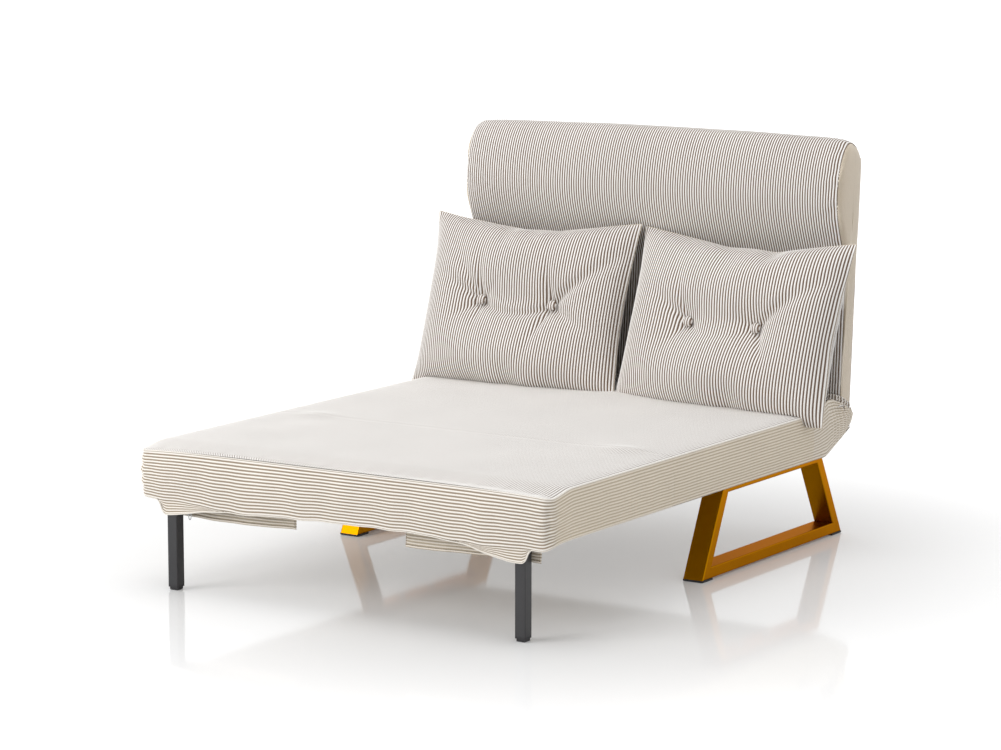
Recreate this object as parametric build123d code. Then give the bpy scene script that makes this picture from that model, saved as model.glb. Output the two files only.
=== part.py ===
# Chair bed with a fold-over front, a reclining back, loop legs behind and fold-in legs in front.
# Millimetres. X runs across, the front faces -Y, Z is up from the floor.
# While it is drawn, Y is counted back from the front of the mattress; the finished part is centred.
from build123d import *
import math
import os

# Mattress and its three sections
bed_width = 1040
floor_to_mattress = 209
mattress_thick = 95
mattress_crown = 4
front_length = 485
seat_length = 819
section_gap = 1.0
edge_radius = 14
cover_wall = 3
fit_gap = 0.3
end_room = 14
cut_over = 1

# Square steel tube frames inside the sections
tube = 25
tube_wall = 1.5
frame_side_padding = 49
seat_frame_rear_margin = 119
front_under_padding = 20

# Sprung slats and their end caps
slat_wide = 60
slat_thick = 8
slat_cap_wall = 2
slat_cap_length = 42
seat_slat_count = 5
front_slat_count = 3
slat_end_margin = 100

# Backrest, measured from its pivot along the slab and out from its middle
back_side_inset = 17
back_half_thick = 26
back_lean_angle = 4
back_length = 640
back_corner_radius = 16
back_cover_start = 12
bolster_start = 385
bolster_proud = 68
bolster_fullest = 515
back_frame_start = 45
back_frame_head_room = 75
strap_count = 4
strap_wide = 55
strap_thick = 3
rear_chamfer_length = 114
rear_chamfer_rise = 34

# Recline ratchet
ratchet_plate = 4
ratchet_eye = 14
ratchet_pin = 5
ratchet_teeth = 14
ratchet_radius = 15
ratchet_tooth = 2.2
ratchet_rise_share = 0.85
ratchet_anchor = 60
pin_clearance = 0.05
plate_gap = 0.4
pin_head = 2.5

# Fold hinge between the front and the seat
fold_plate = 4
fold_eye = 6
fold_pin = 3
fold_hinge_inset = 71

# Rear loop legs of flat steel tube
loop_overhang = 12
loop_bar_wide = 50
loop_bar_thick = 25
loop_wall = 1.5
loop_edge_radius = 2.5
loop_bolt_margin = 122
loop_rear_reach = 45
loop_front_splay = 96
loop_rear_splay = 108
glide_thick = 5
glide_length = 44
bolt_radius = 4
bolt_head_radius = 8
bolt_head = 5
bolt_clearance = 0.2

# Front legs that fold inwards into their pockets
front_leg_inset = 28
front_leg_y = 21
front_pivot_z = 236
front_leg_over = 12.5
foot_cap_height = 11
foot_cap_rim = 4
foot_cap_step = 2.5
leg_bracket_wall = 2.5
leg_pin = 4
leg_side_gap = 0.5
pocket_end_room = 67
pocket_outer_room = 29

# Pocket flaps with their zips
flap_drop = 52
flap_thick = 2
flap_fold = 2.5
flap_fold_count = 6
flap_y = 46
zip_tape_drop = 11
zip_tape_thick = 1
slider_wide = 9
slider_tall = 10
slider_thick = 3.4
slider_from_leg = 14
pull_radius = 7
pull_wire = 1.2

# Loose pillows
pillow_wide = 530
pillow_tall = 400
pillow_thick = 165
pillow_drawn_in = 16
pillow_lean_angle = 20
pillow_turn_angle = 6
pillow_from_pivot = 212
pillow_from_middle = 7
tuft_apart = 192
tuft_radius = 48
tuft_depth = 16
tuft_button_radius = 12
tuft_button_thick = 7

# Share of the pillow's outline, and of its half thickness, at each step of its crown
crown_steps = [(1, 0), (0.94, 0.42), (0.8, 0.74), (0.55, 0.94), (0.25, 1)]

# Levels and lines that follow from the sizes above
mattress_top = floor_to_mattress + mattress_thick
half_width = bed_width / 2
seat_frame_half = half_width - frame_side_padding
back_half_width = half_width - back_side_inset
back_frame_length = back_length - back_frame_start - back_frame_head_room
fold_axis_z = mattress_top + section_gap / 2
pivot_y = front_length + seat_length
pivot_z = mattress_top - back_half_thick
seat_start = front_length + section_gap / 2
front_end = front_length - section_gap / 2
seat_frame_z = floor_to_mattress + cover_wall
seat_frame_top = seat_frame_z + tube
front_frame_z = seat_frame_z + front_under_padding
front_frame_top = front_frame_z + tube
slat_rise = slat_thick + 2 * slat_cap_wall
seat_frame_front = seat_start + end_room
seat_frame_rear = pivot_y - seat_frame_rear_margin
seat_slat_first = seat_frame_front + slat_end_margin
seat_slat_last = seat_frame_rear - slat_end_margin
seat_slat_step = (seat_slat_last - seat_slat_first) / (seat_slat_count - 1)
bolt_spots = [seat_slat_first + (k + 0.5) * seat_slat_step for k in (2, seat_slat_count - 2)]
rail_x = seat_frame_half - tube / 2
loop_outer_x = seat_frame_half + loop_overhang
loop_top_front = bolt_spots[0] - loop_bolt_margin
loop_top_rear = seat_frame_rear + loop_rear_reach
loop_foot_front = loop_top_front - loop_front_splay
loop_foot_rear = loop_top_rear + loop_rear_splay
fold_hinge_x = seat_frame_half - fold_hinge_inset
front_leg_x = seat_frame_half - front_leg_inset
pocket_inner_x = front_leg_x - front_pivot_z - pocket_end_room
pocket_outer_x = front_leg_x + pocket_outer_room
pad_inset = cover_wall + fit_gap
front_leg_half = tube / 2
bracket_front = front_leg_y - front_leg_half - leg_side_gap - leg_bracket_wall
bracket_rear = front_leg_y + front_leg_half + leg_side_gap + leg_bracket_wall
front_frame_front = bracket_rear
front_frame_rear = front_end - end_room

nodes = {}


def block(x_span, y_span, z_span):
    """Box between two values on each axis."""
    size = [high - low for low, high in (x_span, y_span, z_span)]
    middle = [(low + high) / 2 for low, high in (x_span, y_span, z_span)]
    return Pos(*middle) * Box(*size)


def across(outline, x_span):
    """Prism across X from an outline drawn in Y and Z."""
    low, high = x_span
    return Pos(low, 0, 0) * extrude(Plane.YZ * outline, amount=high - low, dir=(1, 0, 0))


def both_sides(shape):
    """The shape and its mirror image on the other side."""
    return Compound([*shape.solids(), *mirror(shape, about=Plane.YZ).solids()])


def polygon(points):
    return make_face(Polyline(*points, close=True))


def cross_pin(y, z, radius, x_span):
    """Round bar along X."""
    low, high = x_span
    return Pos((low + high) / 2, y, z) * Rot(0, 90, 0) * Cylinder(radius, high - low)


def tube_loop(outer, inner, plane, depth, wall, edge_radius=0):
    """Mitred hollow tubes round a loop; outer and inner are matching corners on the plane."""
    share = wall / math.dist(*nearest_edge_gap(outer, inner))
    tubes = []
    for k in range(len(outer)):
        n = (k + 1) % len(outer)
        corners = [outer[k], outer[n], inner[n], inner[k]]
        bore = [
            between(outer[k], inner[k], share),
            between(outer[n], inner[n], share),
            between(outer[n], inner[n], 1 - share),
            between(outer[k], inner[k], 1 - share),
        ]
        body = extrude(plane * polygon(corners), amount=depth)
        if edge_radius:
            body = fillet(body.edges().sort_by(SortBy.LENGTH)[-4:], edge_radius)
        hollow = extrude(plane.offset(wall) * polygon(bore), amount=depth - 2 * wall)
        tubes.append(body - hollow)
    return tubes


def nearest_edge_gap(outer, inner):
    """Two points across the first bar, square to it."""
    start = Vector(*outer[0])
    run = (Vector(*outer[1]) - start).normalized()
    out = Vector(*inner[0]) - start
    foot = start + run * out.dot(run)
    return (foot.X, foot.Y), tuple(inner[0])


def between(a, b, share):
    return tuple(p + (q - p) * share for p, q in zip(a, b))


def flat_frame(x_half, y_span, z_low):
    """Rectangular tube frame lying flat, with a rail down the middle."""
    front, rear = y_span
    outer = [(-x_half, front), (x_half, front), (x_half, rear), (-x_half, rear)]
    signs = [(1, 1), (-1, 1), (-1, -1), (1, -1)]
    inner = [(x + sx * tube, y + sy * tube) for (x, y), (sx, sy) in zip(outer, signs)]
    loop = tube_loop(outer, inner, Plane.XY.offset(z_low), tube, tube_wall)
    half = tube / 2
    bore = half - tube_wall
    run = (front + tube, rear - tube)
    middle = z_low + half
    rail = block((-half, half), run, (z_low, z_low + tube))
    rail -= block((-bore, bore), run, (middle - bore, middle + bore))
    return [*loop, rail]


def mattress_outline(inset):
    """Section across the mattress: flat below, crowned above, with rounded edges."""
    half = half_width - inset
    low = floor_to_mattress + inset
    high = mattress_top - inset
    edge = high - mattress_crown
    r = edge_radius - inset
    bend = r * (1 - math.sqrt(0.5))
    right = [
        Line((-half + r, low), (half - r, low)),
        ThreePointArc((half - r, low), (half - bend, low + bend), (half, low + r)),
        Line((half, low + r), (half, edge - r)),
        ThreePointArc((half, edge - r), (half - bend, edge - bend), (half - r, edge)),
        ThreePointArc((half - r, edge), (0, high), (-half + r, edge)),
        ThreePointArc((-half + r, edge), (-half + bend, edge - bend), (-half, edge - r)),
        Line((-half, edge - r), (-half, low + r)),
        ThreePointArc((-half, low + r), (-half + bend, low + bend), (-half + r, low)),
    ]
    return make_face(Wire(right))


def mattress_run(inset, y_span):
    start, end = y_span
    outline = Plane.XZ * mattress_outline(inset)
    return Pos(0, start, 0) * extrude(outline, amount=end - start, dir=(0, 1, 0))


def seat_side_outline(inset):
    """Side view of the seat: its rear end curls under the round foot of the backrest."""
    reach = back_half_thick + fit_gap + section_gap
    low = floor_to_mattress + inset
    slope = rear_chamfer_rise / rear_chamfer_length
    lift = inset * (math.sqrt(1 + slope * slope) - slope)
    over = mattress_top + edge_radius
    turn = math.sqrt(0.5) * reach
    edges = [
        Line((seat_start, low), (pivot_y - rear_chamfer_length, low)),
        Line((pivot_y - rear_chamfer_length, low), (pivot_y, low + rear_chamfer_rise - inset + lift)),
        Line((pivot_y, low + rear_chamfer_rise - inset + lift), (pivot_y, pivot_z - reach)),
        ThreePointArc(
            (pivot_y, pivot_z - reach), (pivot_y - turn, pivot_z - turn), (pivot_y - reach, pivot_z)
        ),
        Line((pivot_y - reach, pivot_z), (pivot_y - reach, over)),
        Line((pivot_y - reach, over), (seat_start, over)),
        Line((seat_start, over), (seat_start, low)),
    ]
    return make_face(Wire(edges))


def hinge_plate(eye_y, eye_z, eye_radius, foot, x_span):
    """Flat plate from a round eye to a straight foot."""
    eye = Pos(eye_y, eye_z) * Circle(eye_radius)
    y_low, y_high, z_low, z_high = foot
    base = polygon([(y_low, z_low), (y_high, z_low), (y_high, z_high), (y_low, z_high)])
    return across(make_hull([*eye.edges(), *base.edges()]), x_span)


def slat_row(count, y_span, rail_top, x_half):
    """Wooden slats in plastic end caps that stand on the side rails."""
    first, last = y_span
    slats, caps = [], []
    low = rail_top + slat_cap_wall
    for k in range(count):
        y = first + (last - first) * k / (count - 1)
        bed = (y - slat_wide / 2, y + slat_wide / 2)
        slats.append(block((-x_half, x_half), bed, (low, low + slat_thick)))
        shell_y = (bed[0] - slat_cap_wall, bed[1] + slat_cap_wall)
        shell_z = (rail_top, rail_top + slat_rise)
        shell_x = (x_half - slat_cap_length, x_half + slat_cap_wall)
        cap = block(shell_x, shell_y, shell_z) - slats[-1]
        caps.extend(both_sides(cap).solids())
    return Compound(slats), Compound(caps)


def inset_corners(corners, distance):
    """Corners of the same loop drawn in by a distance, counter-clockwise."""
    result = []
    for k, corner in enumerate(corners):
        before = (Vector(*corner) - Vector(*corners[k - 1])).normalized()
        after = (Vector(*corners[(k + 1) % len(corners)]) - Vector(*corner)).normalized()
        normal_before = Vector(-before.Y, before.X)
        normal_after = Vector(-after.Y, after.X)
        middle = (normal_before + normal_after).normalized()
        point = Vector(*corner) + middle * (distance / middle.dot(normal_after))
        result.append((point.X, point.Y))
    return result


def ratchet_outline():
    """Saw-toothed wheel, each tooth a slow rise and a straight drop."""
    points = []
    for k in range(ratchet_teeth):
        for turn, radius in ((k, ratchet_radius - ratchet_tooth), (k + ratchet_rise_share, ratchet_radius)):
            angle = 2 * math.pi * turn / ratchet_teeth
            points.append((radius * math.cos(angle), radius * math.sin(angle)))
    return polygon(points)


def back_outline(inset, foot):
    """Side view of the backrest about its pivot: a slab that swells into a head bolster."""
    near = -(back_half_thick - inset)
    far = back_half_thick - inset
    proud = near - bolster_proud
    top = back_length - inset
    crest_y = (proud + far) / 2
    crest_half = (far - proud) / 2
    shoulder = (bolster_fullest + top) / 2
    low = bolster_start + inset
    edges = [
        Line((far, foot), (far, shoulder)),
        EllipticalCenterArc((crest_y, shoulder), crest_half, top - shoulder, 0, arc_size=90),
        EllipticalCenterArc(
            (crest_y, bolster_fullest), crest_half, top - bolster_fullest, 90, arc_size=90
        ),
        TangentArc((proud, bolster_fullest), (near, low), tangent=(0, -1)),
        Line((near, low), (near, foot)),
        Line((near, foot), (far, foot)),
    ]
    return make_face(Wire(edges))


def round_sides(shape, radius):
    """Round the outer edges of both end faces, leaving the straight foot edge sharp."""
    ends = shape.faces().sort_by(Axis.X)
    foot_level = shape.bounding_box().min.Z
    edges = [edge for end in (ends[0], ends[-1]) for edge in end.edges()]
    return fillet([edge for edge in edges if edge.center().Z > foot_level + radius], radius)


def leg_pin_bar(radius, y_span):
    low, high = y_span
    return Pos(0, (low + high) / 2, 0) * leg_axis * Cylinder(radius, high - low)


def flap_line(y):
    """Wavy line along X, one arc to each fold."""
    arcs = []
    for k in range(flap_fold_count):
        start = pocket_inner_x + k * fold_run
        bulge = flap_fold if k % 2 else -flap_fold
        arcs.append(ThreePointArc((start, y), (start + fold_run / 2, y + bulge), (start + fold_run, y)))
    return arcs


def pillow_ring(grow, level):
    """Pillow outline drawn in between its corners, at a height above its middle."""
    half_w = pillow_wide / 2 * grow
    half_t = pillow_tall / 2 * grow
    side = pillow_drawn_in * grow
    corners = [(-half_w, -half_t), (half_w, -half_t), (half_w, half_t), (-half_w, half_t)]
    bows = [(0, side - half_t), (half_w - side, 0), (0, half_t - side), (side - half_w, 0)]
    arcs = [ThreePointArc(corners[k], bows[k], corners[(k + 1) % 4]) for k in range(4)]
    return Pos(0, 0, level) * make_face(Wire(arcs))


# Rear loop legs, each four mitred tubes, on plastic glides and bolted up into the seat frame
loop_low = glide_thick
loop_outer = [
    (loop_foot_front, loop_low),
    (loop_foot_rear, loop_low),
    (loop_top_rear, floor_to_mattress),
    (loop_top_front, floor_to_mattress),
]


loop_inner = inset_corners(loop_outer, loop_bar_thick)
loop_plane = Plane.YZ.offset(loop_outer_x - loop_bar_wide)
bolt_holes = Compound(
    [
        Pos(rail_x, y, floor_to_mattress) * Cylinder(bolt_radius + bolt_clearance, 4 * tube)
        for y in bolt_spots
    ]
)
loop_tubes = tube_loop(loop_outer, loop_inner, loop_plane, loop_bar_wide, loop_wall, loop_edge_radius)
right_loop = Compound([*loop_tubes[:2], loop_tubes[2] - bolt_holes, loop_tubes[3]])
nodes["rear_leg_right"] = right_loop
nodes["rear_leg_left"] = mirror(right_loop, about=Plane.YZ)
glide_spots = [loop_foot_front, loop_foot_rear - glide_length]
glide_x = (loop_outer_x - loop_bar_wide, loop_outer_x)
glides = []
for y in glide_spots:
    glide = block(glide_x, (y, y + glide_length), (0, glide_thick))
    glides.append(chamfer(glide.faces().sort_by(Axis.Z)[0].edges(), glide_thick / 3))
nodes["rear_leg_glides"] = both_sides(Compound(glides))

bolts = []
for y in bolt_spots:
    low = floor_to_mattress - loop_bar_thick
    shank = Pos(rail_x, y, (low + seat_frame_top) / 2) * Cylinder(bolt_radius, seat_frame_top - low)
    head = Pos(rail_x, y, low - bolt_head / 2) * Cylinder(bolt_head_radius, bolt_head)
    nut = Pos(rail_x, y, seat_frame_top + bolt_head / 2)
    nut = nut * extrude(RegularPolygon(bolt_head_radius, 6), amount=bolt_head / 2, both=True)
    bolts.append(shank + head + nut)
nodes["rear_leg_bolts"] = both_sides(Compound(bolts))

# Seat frame with its slats
seat_tubes = flat_frame(seat_frame_half, (seat_frame_front, seat_frame_rear), seat_frame_z)
every_bolt_hole = both_sides(bolt_holes)
nodes["seat_frame"] = Compound([*(piece - every_bolt_hole for piece in seat_tubes)])
seat_slat_span = (seat_slat_first, seat_slat_last)
seat_slats, seat_caps = slat_row(seat_slat_count, seat_slat_span, seat_frame_top, seat_frame_half)
nodes["seat_slats"] = seat_slats
nodes["seat_slat_caps"] = seat_caps

# Recline ratchet: a fixed plate and toothed wheel on the seat, an arm and pawl on the backrest
lean = Pos(0, pivot_y, pivot_z) * Rot(-back_lean_angle, 0, 0)
plate_in = seat_frame_half
plate_x = (plate_in, plate_in + ratchet_plate)
arm_x = (plate_x[1] + plate_gap, plate_x[1] + plate_gap + ratchet_plate)
wheel_x = (arm_x[1] + plate_gap, arm_x[1] + plate_gap + ratchet_plate)
ratchet_bore = cross_pin(pivot_y, pivot_z, ratchet_pin + pin_clearance, (0, half_width))
plate_foot = (seat_frame_rear - ratchet_anchor, seat_frame_rear, seat_frame_z, seat_frame_top)
seat_plate = hinge_plate(pivot_y, pivot_z, ratchet_eye, plate_foot, plate_x) - ratchet_bore
nodes["recline_seat_plates"] = both_sides(seat_plate)


wheel = Pos(0, pivot_y, pivot_z) * across(ratchet_outline(), wheel_x)
pin_end = wheel_x[1]
pin = cross_pin(pivot_y, pivot_z, ratchet_pin, (plate_x[0], pin_end))
outer_head = cross_pin(pivot_y, pivot_z, ratchet_pin + pin_head, (pin_end, pin_end + pin_head))
inner_head = cross_pin(pivot_y, pivot_z, ratchet_pin + pin_head, (plate_in - pin_head, plate_in))
nodes["recline_pins"] = both_sides(pin + outer_head + inner_head)
wheel -= cross_pin(pivot_y, pivot_z, ratchet_pin, wheel_x)
nodes["recline_ratchet_wheels"] = both_sides(wheel)

# Backrest arm on the pin, drawn upright about the pivot and then leaned back with the rest
arm_top = back_frame_start + ratchet_anchor
frame_rear = -back_half_thick + cover_wall + fit_gap
frame_front = frame_rear + tube
arm = hinge_plate(0, 0, ratchet_eye, (-frame_front, -frame_rear, back_frame_start, arm_top), arm_x)
arm -= cross_pin(0, 0, ratchet_pin + pin_clearance, arm_x)
pawl_reach = ratchet_radius + fit_gap
pawl_points = [
    (-ratchet_tooth, pawl_reach),
    (ratchet_tooth, pawl_reach + ratchet_tooth),
    (2 * ratchet_tooth, 2 * ratchet_radius),
    (-2 * ratchet_tooth, 2 * ratchet_radius),
]
pawl = across(polygon(pawl_points), (arm_x[1], wheel_x[1]))
nodes["recline_arms"] = lean * both_sides(arm)
nodes["recline_pawls"] = lean * both_sides(pawl)

# Backrest frame and webbing
back_frame_half = arm_x[0]
back_tubes = flat_frame(back_frame_half, (back_frame_start, back_frame_start + back_frame_length), 0)
stand = Pos(0, -frame_rear, 0) * Rot(90, 0, 0)
nodes["back_frame"] = lean * stand * Compound(back_tubes)
straps = []
strap_first = back_frame_start + tube + strap_wide
strap_last = back_frame_start + back_frame_length - tube - strap_wide
for k in range(strap_count):
    s = strap_first + (strap_last - strap_first) * k / (strap_count - 1)
    strap_y = (-frame_front - strap_thick, -frame_front)
    strap = block((-back_frame_half, back_frame_half), strap_y, (s - strap_wide / 2, s + strap_wide / 2))
    straps.append(strap)
nodes["back_straps"] = lean * Compound(straps)


# Backrest padding: a slab with a round foot about the pivot, and the head bolster in front of it
pad_half = back_half_width - pad_inset
pad_x = (-pad_half, pad_half)


whole = round_sides(across(back_outline(pad_inset, 0), pad_x), back_corner_radius - pad_inset)
foot_radius = back_half_thick - pad_inset
foot_half = pad_half - back_corner_radius
whole += cross_pin(0, 0, foot_radius, (-foot_half, foot_half))
frame_room = block(
    (-back_frame_half - fit_gap, back_frame_half + fit_gap),
    (-frame_front - strap_thick - fit_gap, back_half_thick),
    (back_frame_start - fit_gap, back_frame_start + back_frame_length + fit_gap),
)
hardware_x = (plate_in - pin_head - fit_gap, wheel_x[1] + pin_head + fit_gap)
hardware_room = both_sides(
    block(
        hardware_x,
        (-back_half_thick - bolster_proud, back_half_thick),
        (-back_half_thick, arm_top + cut_over),
    )
)
bolster_room = block(pad_x, (-back_half_thick - 2 * bolster_proud, -foot_radius), (0, back_length))
nodes["back_pad"] = lean * (whole - frame_room - hardware_room - bolster_room)
nodes["head_bolster"] = lean * (whole & bolster_room)

# Backrest cover, a sleeve closed at the top and sides and open at the foot
cover_x = (-back_half_width, back_half_width)
cover = across(back_outline(0, back_cover_start), cover_x)
cover = round_sides(cover, back_corner_radius)
lining_half = back_half_width - cover_wall
lining = across(back_outline(cover_wall, 0), (-lining_half, lining_half))
lining = round_sides(lining, back_corner_radius - cover_wall)
nodes["back_cover"] = lean * (cover - lining)

# Fold hinge: plates that stand on the two frames and meet at the top of the mattress
fold_bore = cross_pin(front_length, fold_axis_z, fold_pin + pin_clearance, (0, half_width))
seat_leaf_x = (fold_hinge_x - fold_plate, fold_hinge_x)
front_leaf_x = (fold_hinge_x + plate_gap, fold_hinge_x + plate_gap + fold_plate)
seat_leaf_foot = (seat_frame_front, seat_frame_front + tube, seat_frame_top, seat_frame_top + fold_plate)
front_leaf_foot = (front_frame_rear - tube, front_frame_rear, front_frame_top, front_frame_top + fold_plate)
seat_leaf = hinge_plate(front_length, fold_axis_z, fold_eye, seat_leaf_foot, seat_leaf_x) - fold_bore
front_leaf = hinge_plate(front_length, fold_axis_z, fold_eye, front_leaf_foot, front_leaf_x) - fold_bore
nodes["fold_seat_plates"] = both_sides(seat_leaf)
nodes["fold_front_plates"] = both_sides(front_leaf)
fold_span = (seat_leaf_x[0], front_leaf_x[1] + plate_gap)
fold_pin_body = cross_pin(front_length, fold_axis_z, fold_pin, fold_span)
for x_span in (
    (fold_span[0] - pin_head, fold_span[0]),
    (fold_span[1], fold_span[1] + pin_head),
):
    fold_pin_body += cross_pin(front_length, fold_axis_z, fold_eye - plate_gap, x_span)
nodes["fold_pins"] = both_sides(fold_pin_body)
fold_room_x = (fold_span[0] - pin_head - fit_gap, fold_span[1] + pin_head + fit_gap)
fold_reach = seat_frame_front + tube + fit_gap - front_length
fold_room = both_sides(
    block(
        fold_room_x,
        (front_length - fold_reach, front_length + fold_reach),
        (seat_frame_z, 2 * fold_axis_z),
    )
)
fold_slot_reach = 3 * fold_eye
fold_slot = both_sides(
    block(
        fold_room_x,
        (front_length - fold_slot_reach, front_length + fold_slot_reach),
        (mattress_top - mattress_thick / 3, 2 * fold_axis_z),
    )
)

# Seat padding and cover
seat_shape = across(seat_side_outline(pad_inset), (-half_width, half_width))
seat_pad = mattress_run(pad_inset, (seat_start, pivot_y)) & seat_shape
seat_frame_room = block(
    (-seat_frame_half - slat_cap_wall - fit_gap, seat_frame_half + slat_cap_wall + fit_gap),
    (seat_start - cut_over, seat_frame_rear + fit_gap),
    (0, seat_frame_top + slat_rise + fit_gap),
)
ratchet_room = both_sides(
    block(hardware_x, (seat_frame_rear - ratchet_anchor - cut_over, pivot_y), (0, 2 * mattress_top))
)
nodes["seat_pad"] = seat_pad - seat_frame_room - ratchet_room - fold_room
seat_outer = mattress_run(0, (seat_start, pivot_y))
seat_outer &= across(seat_side_outline(0), (-half_width, half_width))
seat_lining = mattress_run(cover_wall, (seat_start - cut_over, pivot_y + cut_over))
rear_lining = across(seat_side_outline(cover_wall), (-half_width, half_width))
end_run = (seat_start - cut_over, seat_start + cut_over)
end_opening = block((-half_width, half_width), end_run, (0, 2 * mattress_top))
seat_lining &= rear_lining + end_opening
nodes["seat_cover"] = seat_outer - seat_lining - fold_slot - every_bolt_hole

# Front frame with its slats
front_tubes = flat_frame(seat_frame_half, (front_frame_front, front_frame_rear), front_frame_z)
nodes["front_frame"] = Compound(front_tubes)
front_slat_span = (front_frame_front + slat_end_margin, front_frame_rear - slat_end_margin)
front_slats, front_caps = slat_row(front_slat_count, front_slat_span, front_frame_top, seat_frame_half)
nodes["front_slats"] = front_slats
nodes["front_slat_caps"] = front_caps

# Front legs: brackets on the front rail, pins along Y, and tubes with stepped foot caps
bracket_half = front_leg_half + 2 * leg_side_gap
leg_swing = math.hypot(front_leg_half, front_leg_over) + leg_side_gap
bracket_top = front_pivot_z + leg_swing + leg_bracket_wall
bracket_low = front_pivot_z - 2 * leg_pin
leg_axis = Pos(front_leg_x, 0, front_pivot_z) * Rot(90, 0, 0)


bracket_x = (front_leg_x - bracket_half, front_leg_x + bracket_half)
bracket = block(bracket_x, (bracket_front, bracket_rear), (bracket_low, bracket_top))
bracket -= block(
    (0, half_width),
    (bracket_front + leg_bracket_wall, bracket_rear - leg_bracket_wall),
    (0, bracket_top - leg_bracket_wall),
)
bracket -= leg_pin_bar(leg_pin, (bracket_front, bracket_rear))
nodes["front_leg_brackets"] = both_sides(bracket)
leg_pin_solid = leg_pin_bar(leg_pin, (bracket_front, bracket_rear))
leg_pin_solid += leg_pin_bar(leg_pin + pin_head / 2, (bracket_front - pin_head / 2, bracket_front))
nodes["front_leg_pins"] = both_sides(leg_pin_solid)

leg_x = (front_leg_x - front_leg_half, front_leg_x + front_leg_half)
leg_y = (front_leg_y - front_leg_half, front_leg_y + front_leg_half)
leg_z = (foot_cap_height, front_pivot_z + front_leg_over)
leg_tube = block(leg_x, leg_y, leg_z)
leg_tube = fillet(leg_tube.edges().filter_by(Axis.Z), tube_wall)
bore_half = front_leg_half - tube_wall
leg_tube -= block(
    (front_leg_x - bore_half, front_leg_x + bore_half),
    (front_leg_y - bore_half, front_leg_y + bore_half),
    (leg_z[0], leg_z[1] - tube_wall),
)
leg_tube -= leg_pin_bar(leg_pin + pin_clearance, leg_y)
nodes["front_leg_right"] = leg_tube
nodes["front_leg_left"] = mirror(leg_tube, about=Plane.YZ)
sole_half = front_leg_half - foot_cap_step
foot = block(
    (front_leg_x - sole_half, front_leg_x + sole_half),
    (front_leg_y - sole_half, front_leg_y + sole_half),
    (0, foot_cap_height - foot_cap_rim),
)
foot = chamfer(foot.faces().sort_by(Axis.Z)[0].edges(), tube_wall)
rim = block(leg_x, leg_y, (foot_cap_height - foot_cap_rim, foot_cap_height))
foot += fillet(rim.edges().filter_by(Axis.Z), tube_wall)
plug_half = bore_half - fit_gap / 2
foot += block(
    (front_leg_x - plug_half, front_leg_x + plug_half),
    (front_leg_y - plug_half, front_leg_y + plug_half),
    (foot_cap_height, foot_cap_height + tube),
)
nodes["front_foot_right"] = foot
nodes["front_foot_left"] = mirror(foot, about=Plane.YZ)

# Front padding and cover, with a pocket for each folded leg open underneath
pocket_y = (cover_wall, bracket_rear)
pocket_top = bracket_top + fit_gap
leg_pocket = both_sides(block((pocket_inner_x, pocket_outer_x), pocket_y, (0, pocket_top)))
front_pad = mattress_run(pad_inset, (pad_inset, front_end))
front_frame_room = block(
    (-seat_frame_half - slat_cap_wall - fit_gap, seat_frame_half + slat_cap_wall + fit_gap),
    (front_frame_front - fit_gap, front_frame_rear + fit_gap),
    (front_frame_z - fit_gap, front_frame_top + slat_rise + fit_gap),
)
nodes["front_pad"] = front_pad - front_frame_room - leg_pocket - fold_room
front_outer = mattress_run(0, (0, front_end))
front_outer = fillet(front_outer.faces().sort_by(Axis.Y)[0].edges(), edge_radius / 2)
front_lining = mattress_run(cover_wall, (cover_wall, front_end + cut_over))
pocket_mouth = both_sides(
    block((pocket_inner_x, pocket_outer_x), (2 * cover_wall, bracket_rear), (0, seat_frame_z + cut_over))
)
nodes["front_cover"] = front_outer - front_lining - fold_slot - pocket_mouth

# Pocket flaps that hang behind the legs in shallow folds, with a zip tape and its slider
fold_run = (pocket_outer_x - pocket_inner_x) / flap_fold_count


flap_back = flap_y + flap_thick
flap_edges = [
    *flap_line(flap_y),
    Line((pocket_outer_x, flap_y), (pocket_outer_x, flap_back)),
    *flap_line(flap_back),
    Line((pocket_inner_x, flap_back), (pocket_inner_x, flap_y)),
]
flap = extrude(make_face(Wire(flap_edges)), amount=-flap_drop, dir=(0, 0, 1))
flap = Pos(0, 0, floor_to_mattress) * flap
nodes["pocket_flap_right"] = flap
nodes["pocket_flap_left"] = mirror(flap, about=Plane.YZ)
tape_back = flap_y - flap_fold - fit_gap
tape_y = (tape_back - zip_tape_thick, tape_back)
tape_z = (floor_to_mattress - zip_tape_drop, floor_to_mattress)
zip_tape = block((pocket_inner_x, pocket_outer_x), tape_y, tape_z)
nodes["zip_tapes"] = both_sides(zip_tape)
slider_x = front_leg_x - front_leg_half - slider_from_leg
slider_y = (tape_y[0] - fit_gap - slider_thick, tape_y[0] - fit_gap)
slider_z = (tape_z[0] + fit_gap - slider_tall / 2, tape_z[0] + fit_gap + slider_tall / 2)
slider = block((slider_x - slider_wide / 2, slider_x + slider_wide / 2), slider_y, slider_z)
slider = fillet(slider.edges().filter_by(Axis.Y), slider_thick / 2)
slider_mid = (slider_y[0] + slider_y[1]) / 2
ring = Pos(slider_x, slider_mid, slider_z[0] - pull_radius + 2 * pull_wire)
slider += ring * Rot(90, 0, 0) * Torus(pull_radius, pull_wire)
nodes["zip_slider_right"] = slider
nodes["zip_slider_left"] = mirror(slider, about=Plane.YZ)


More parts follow.
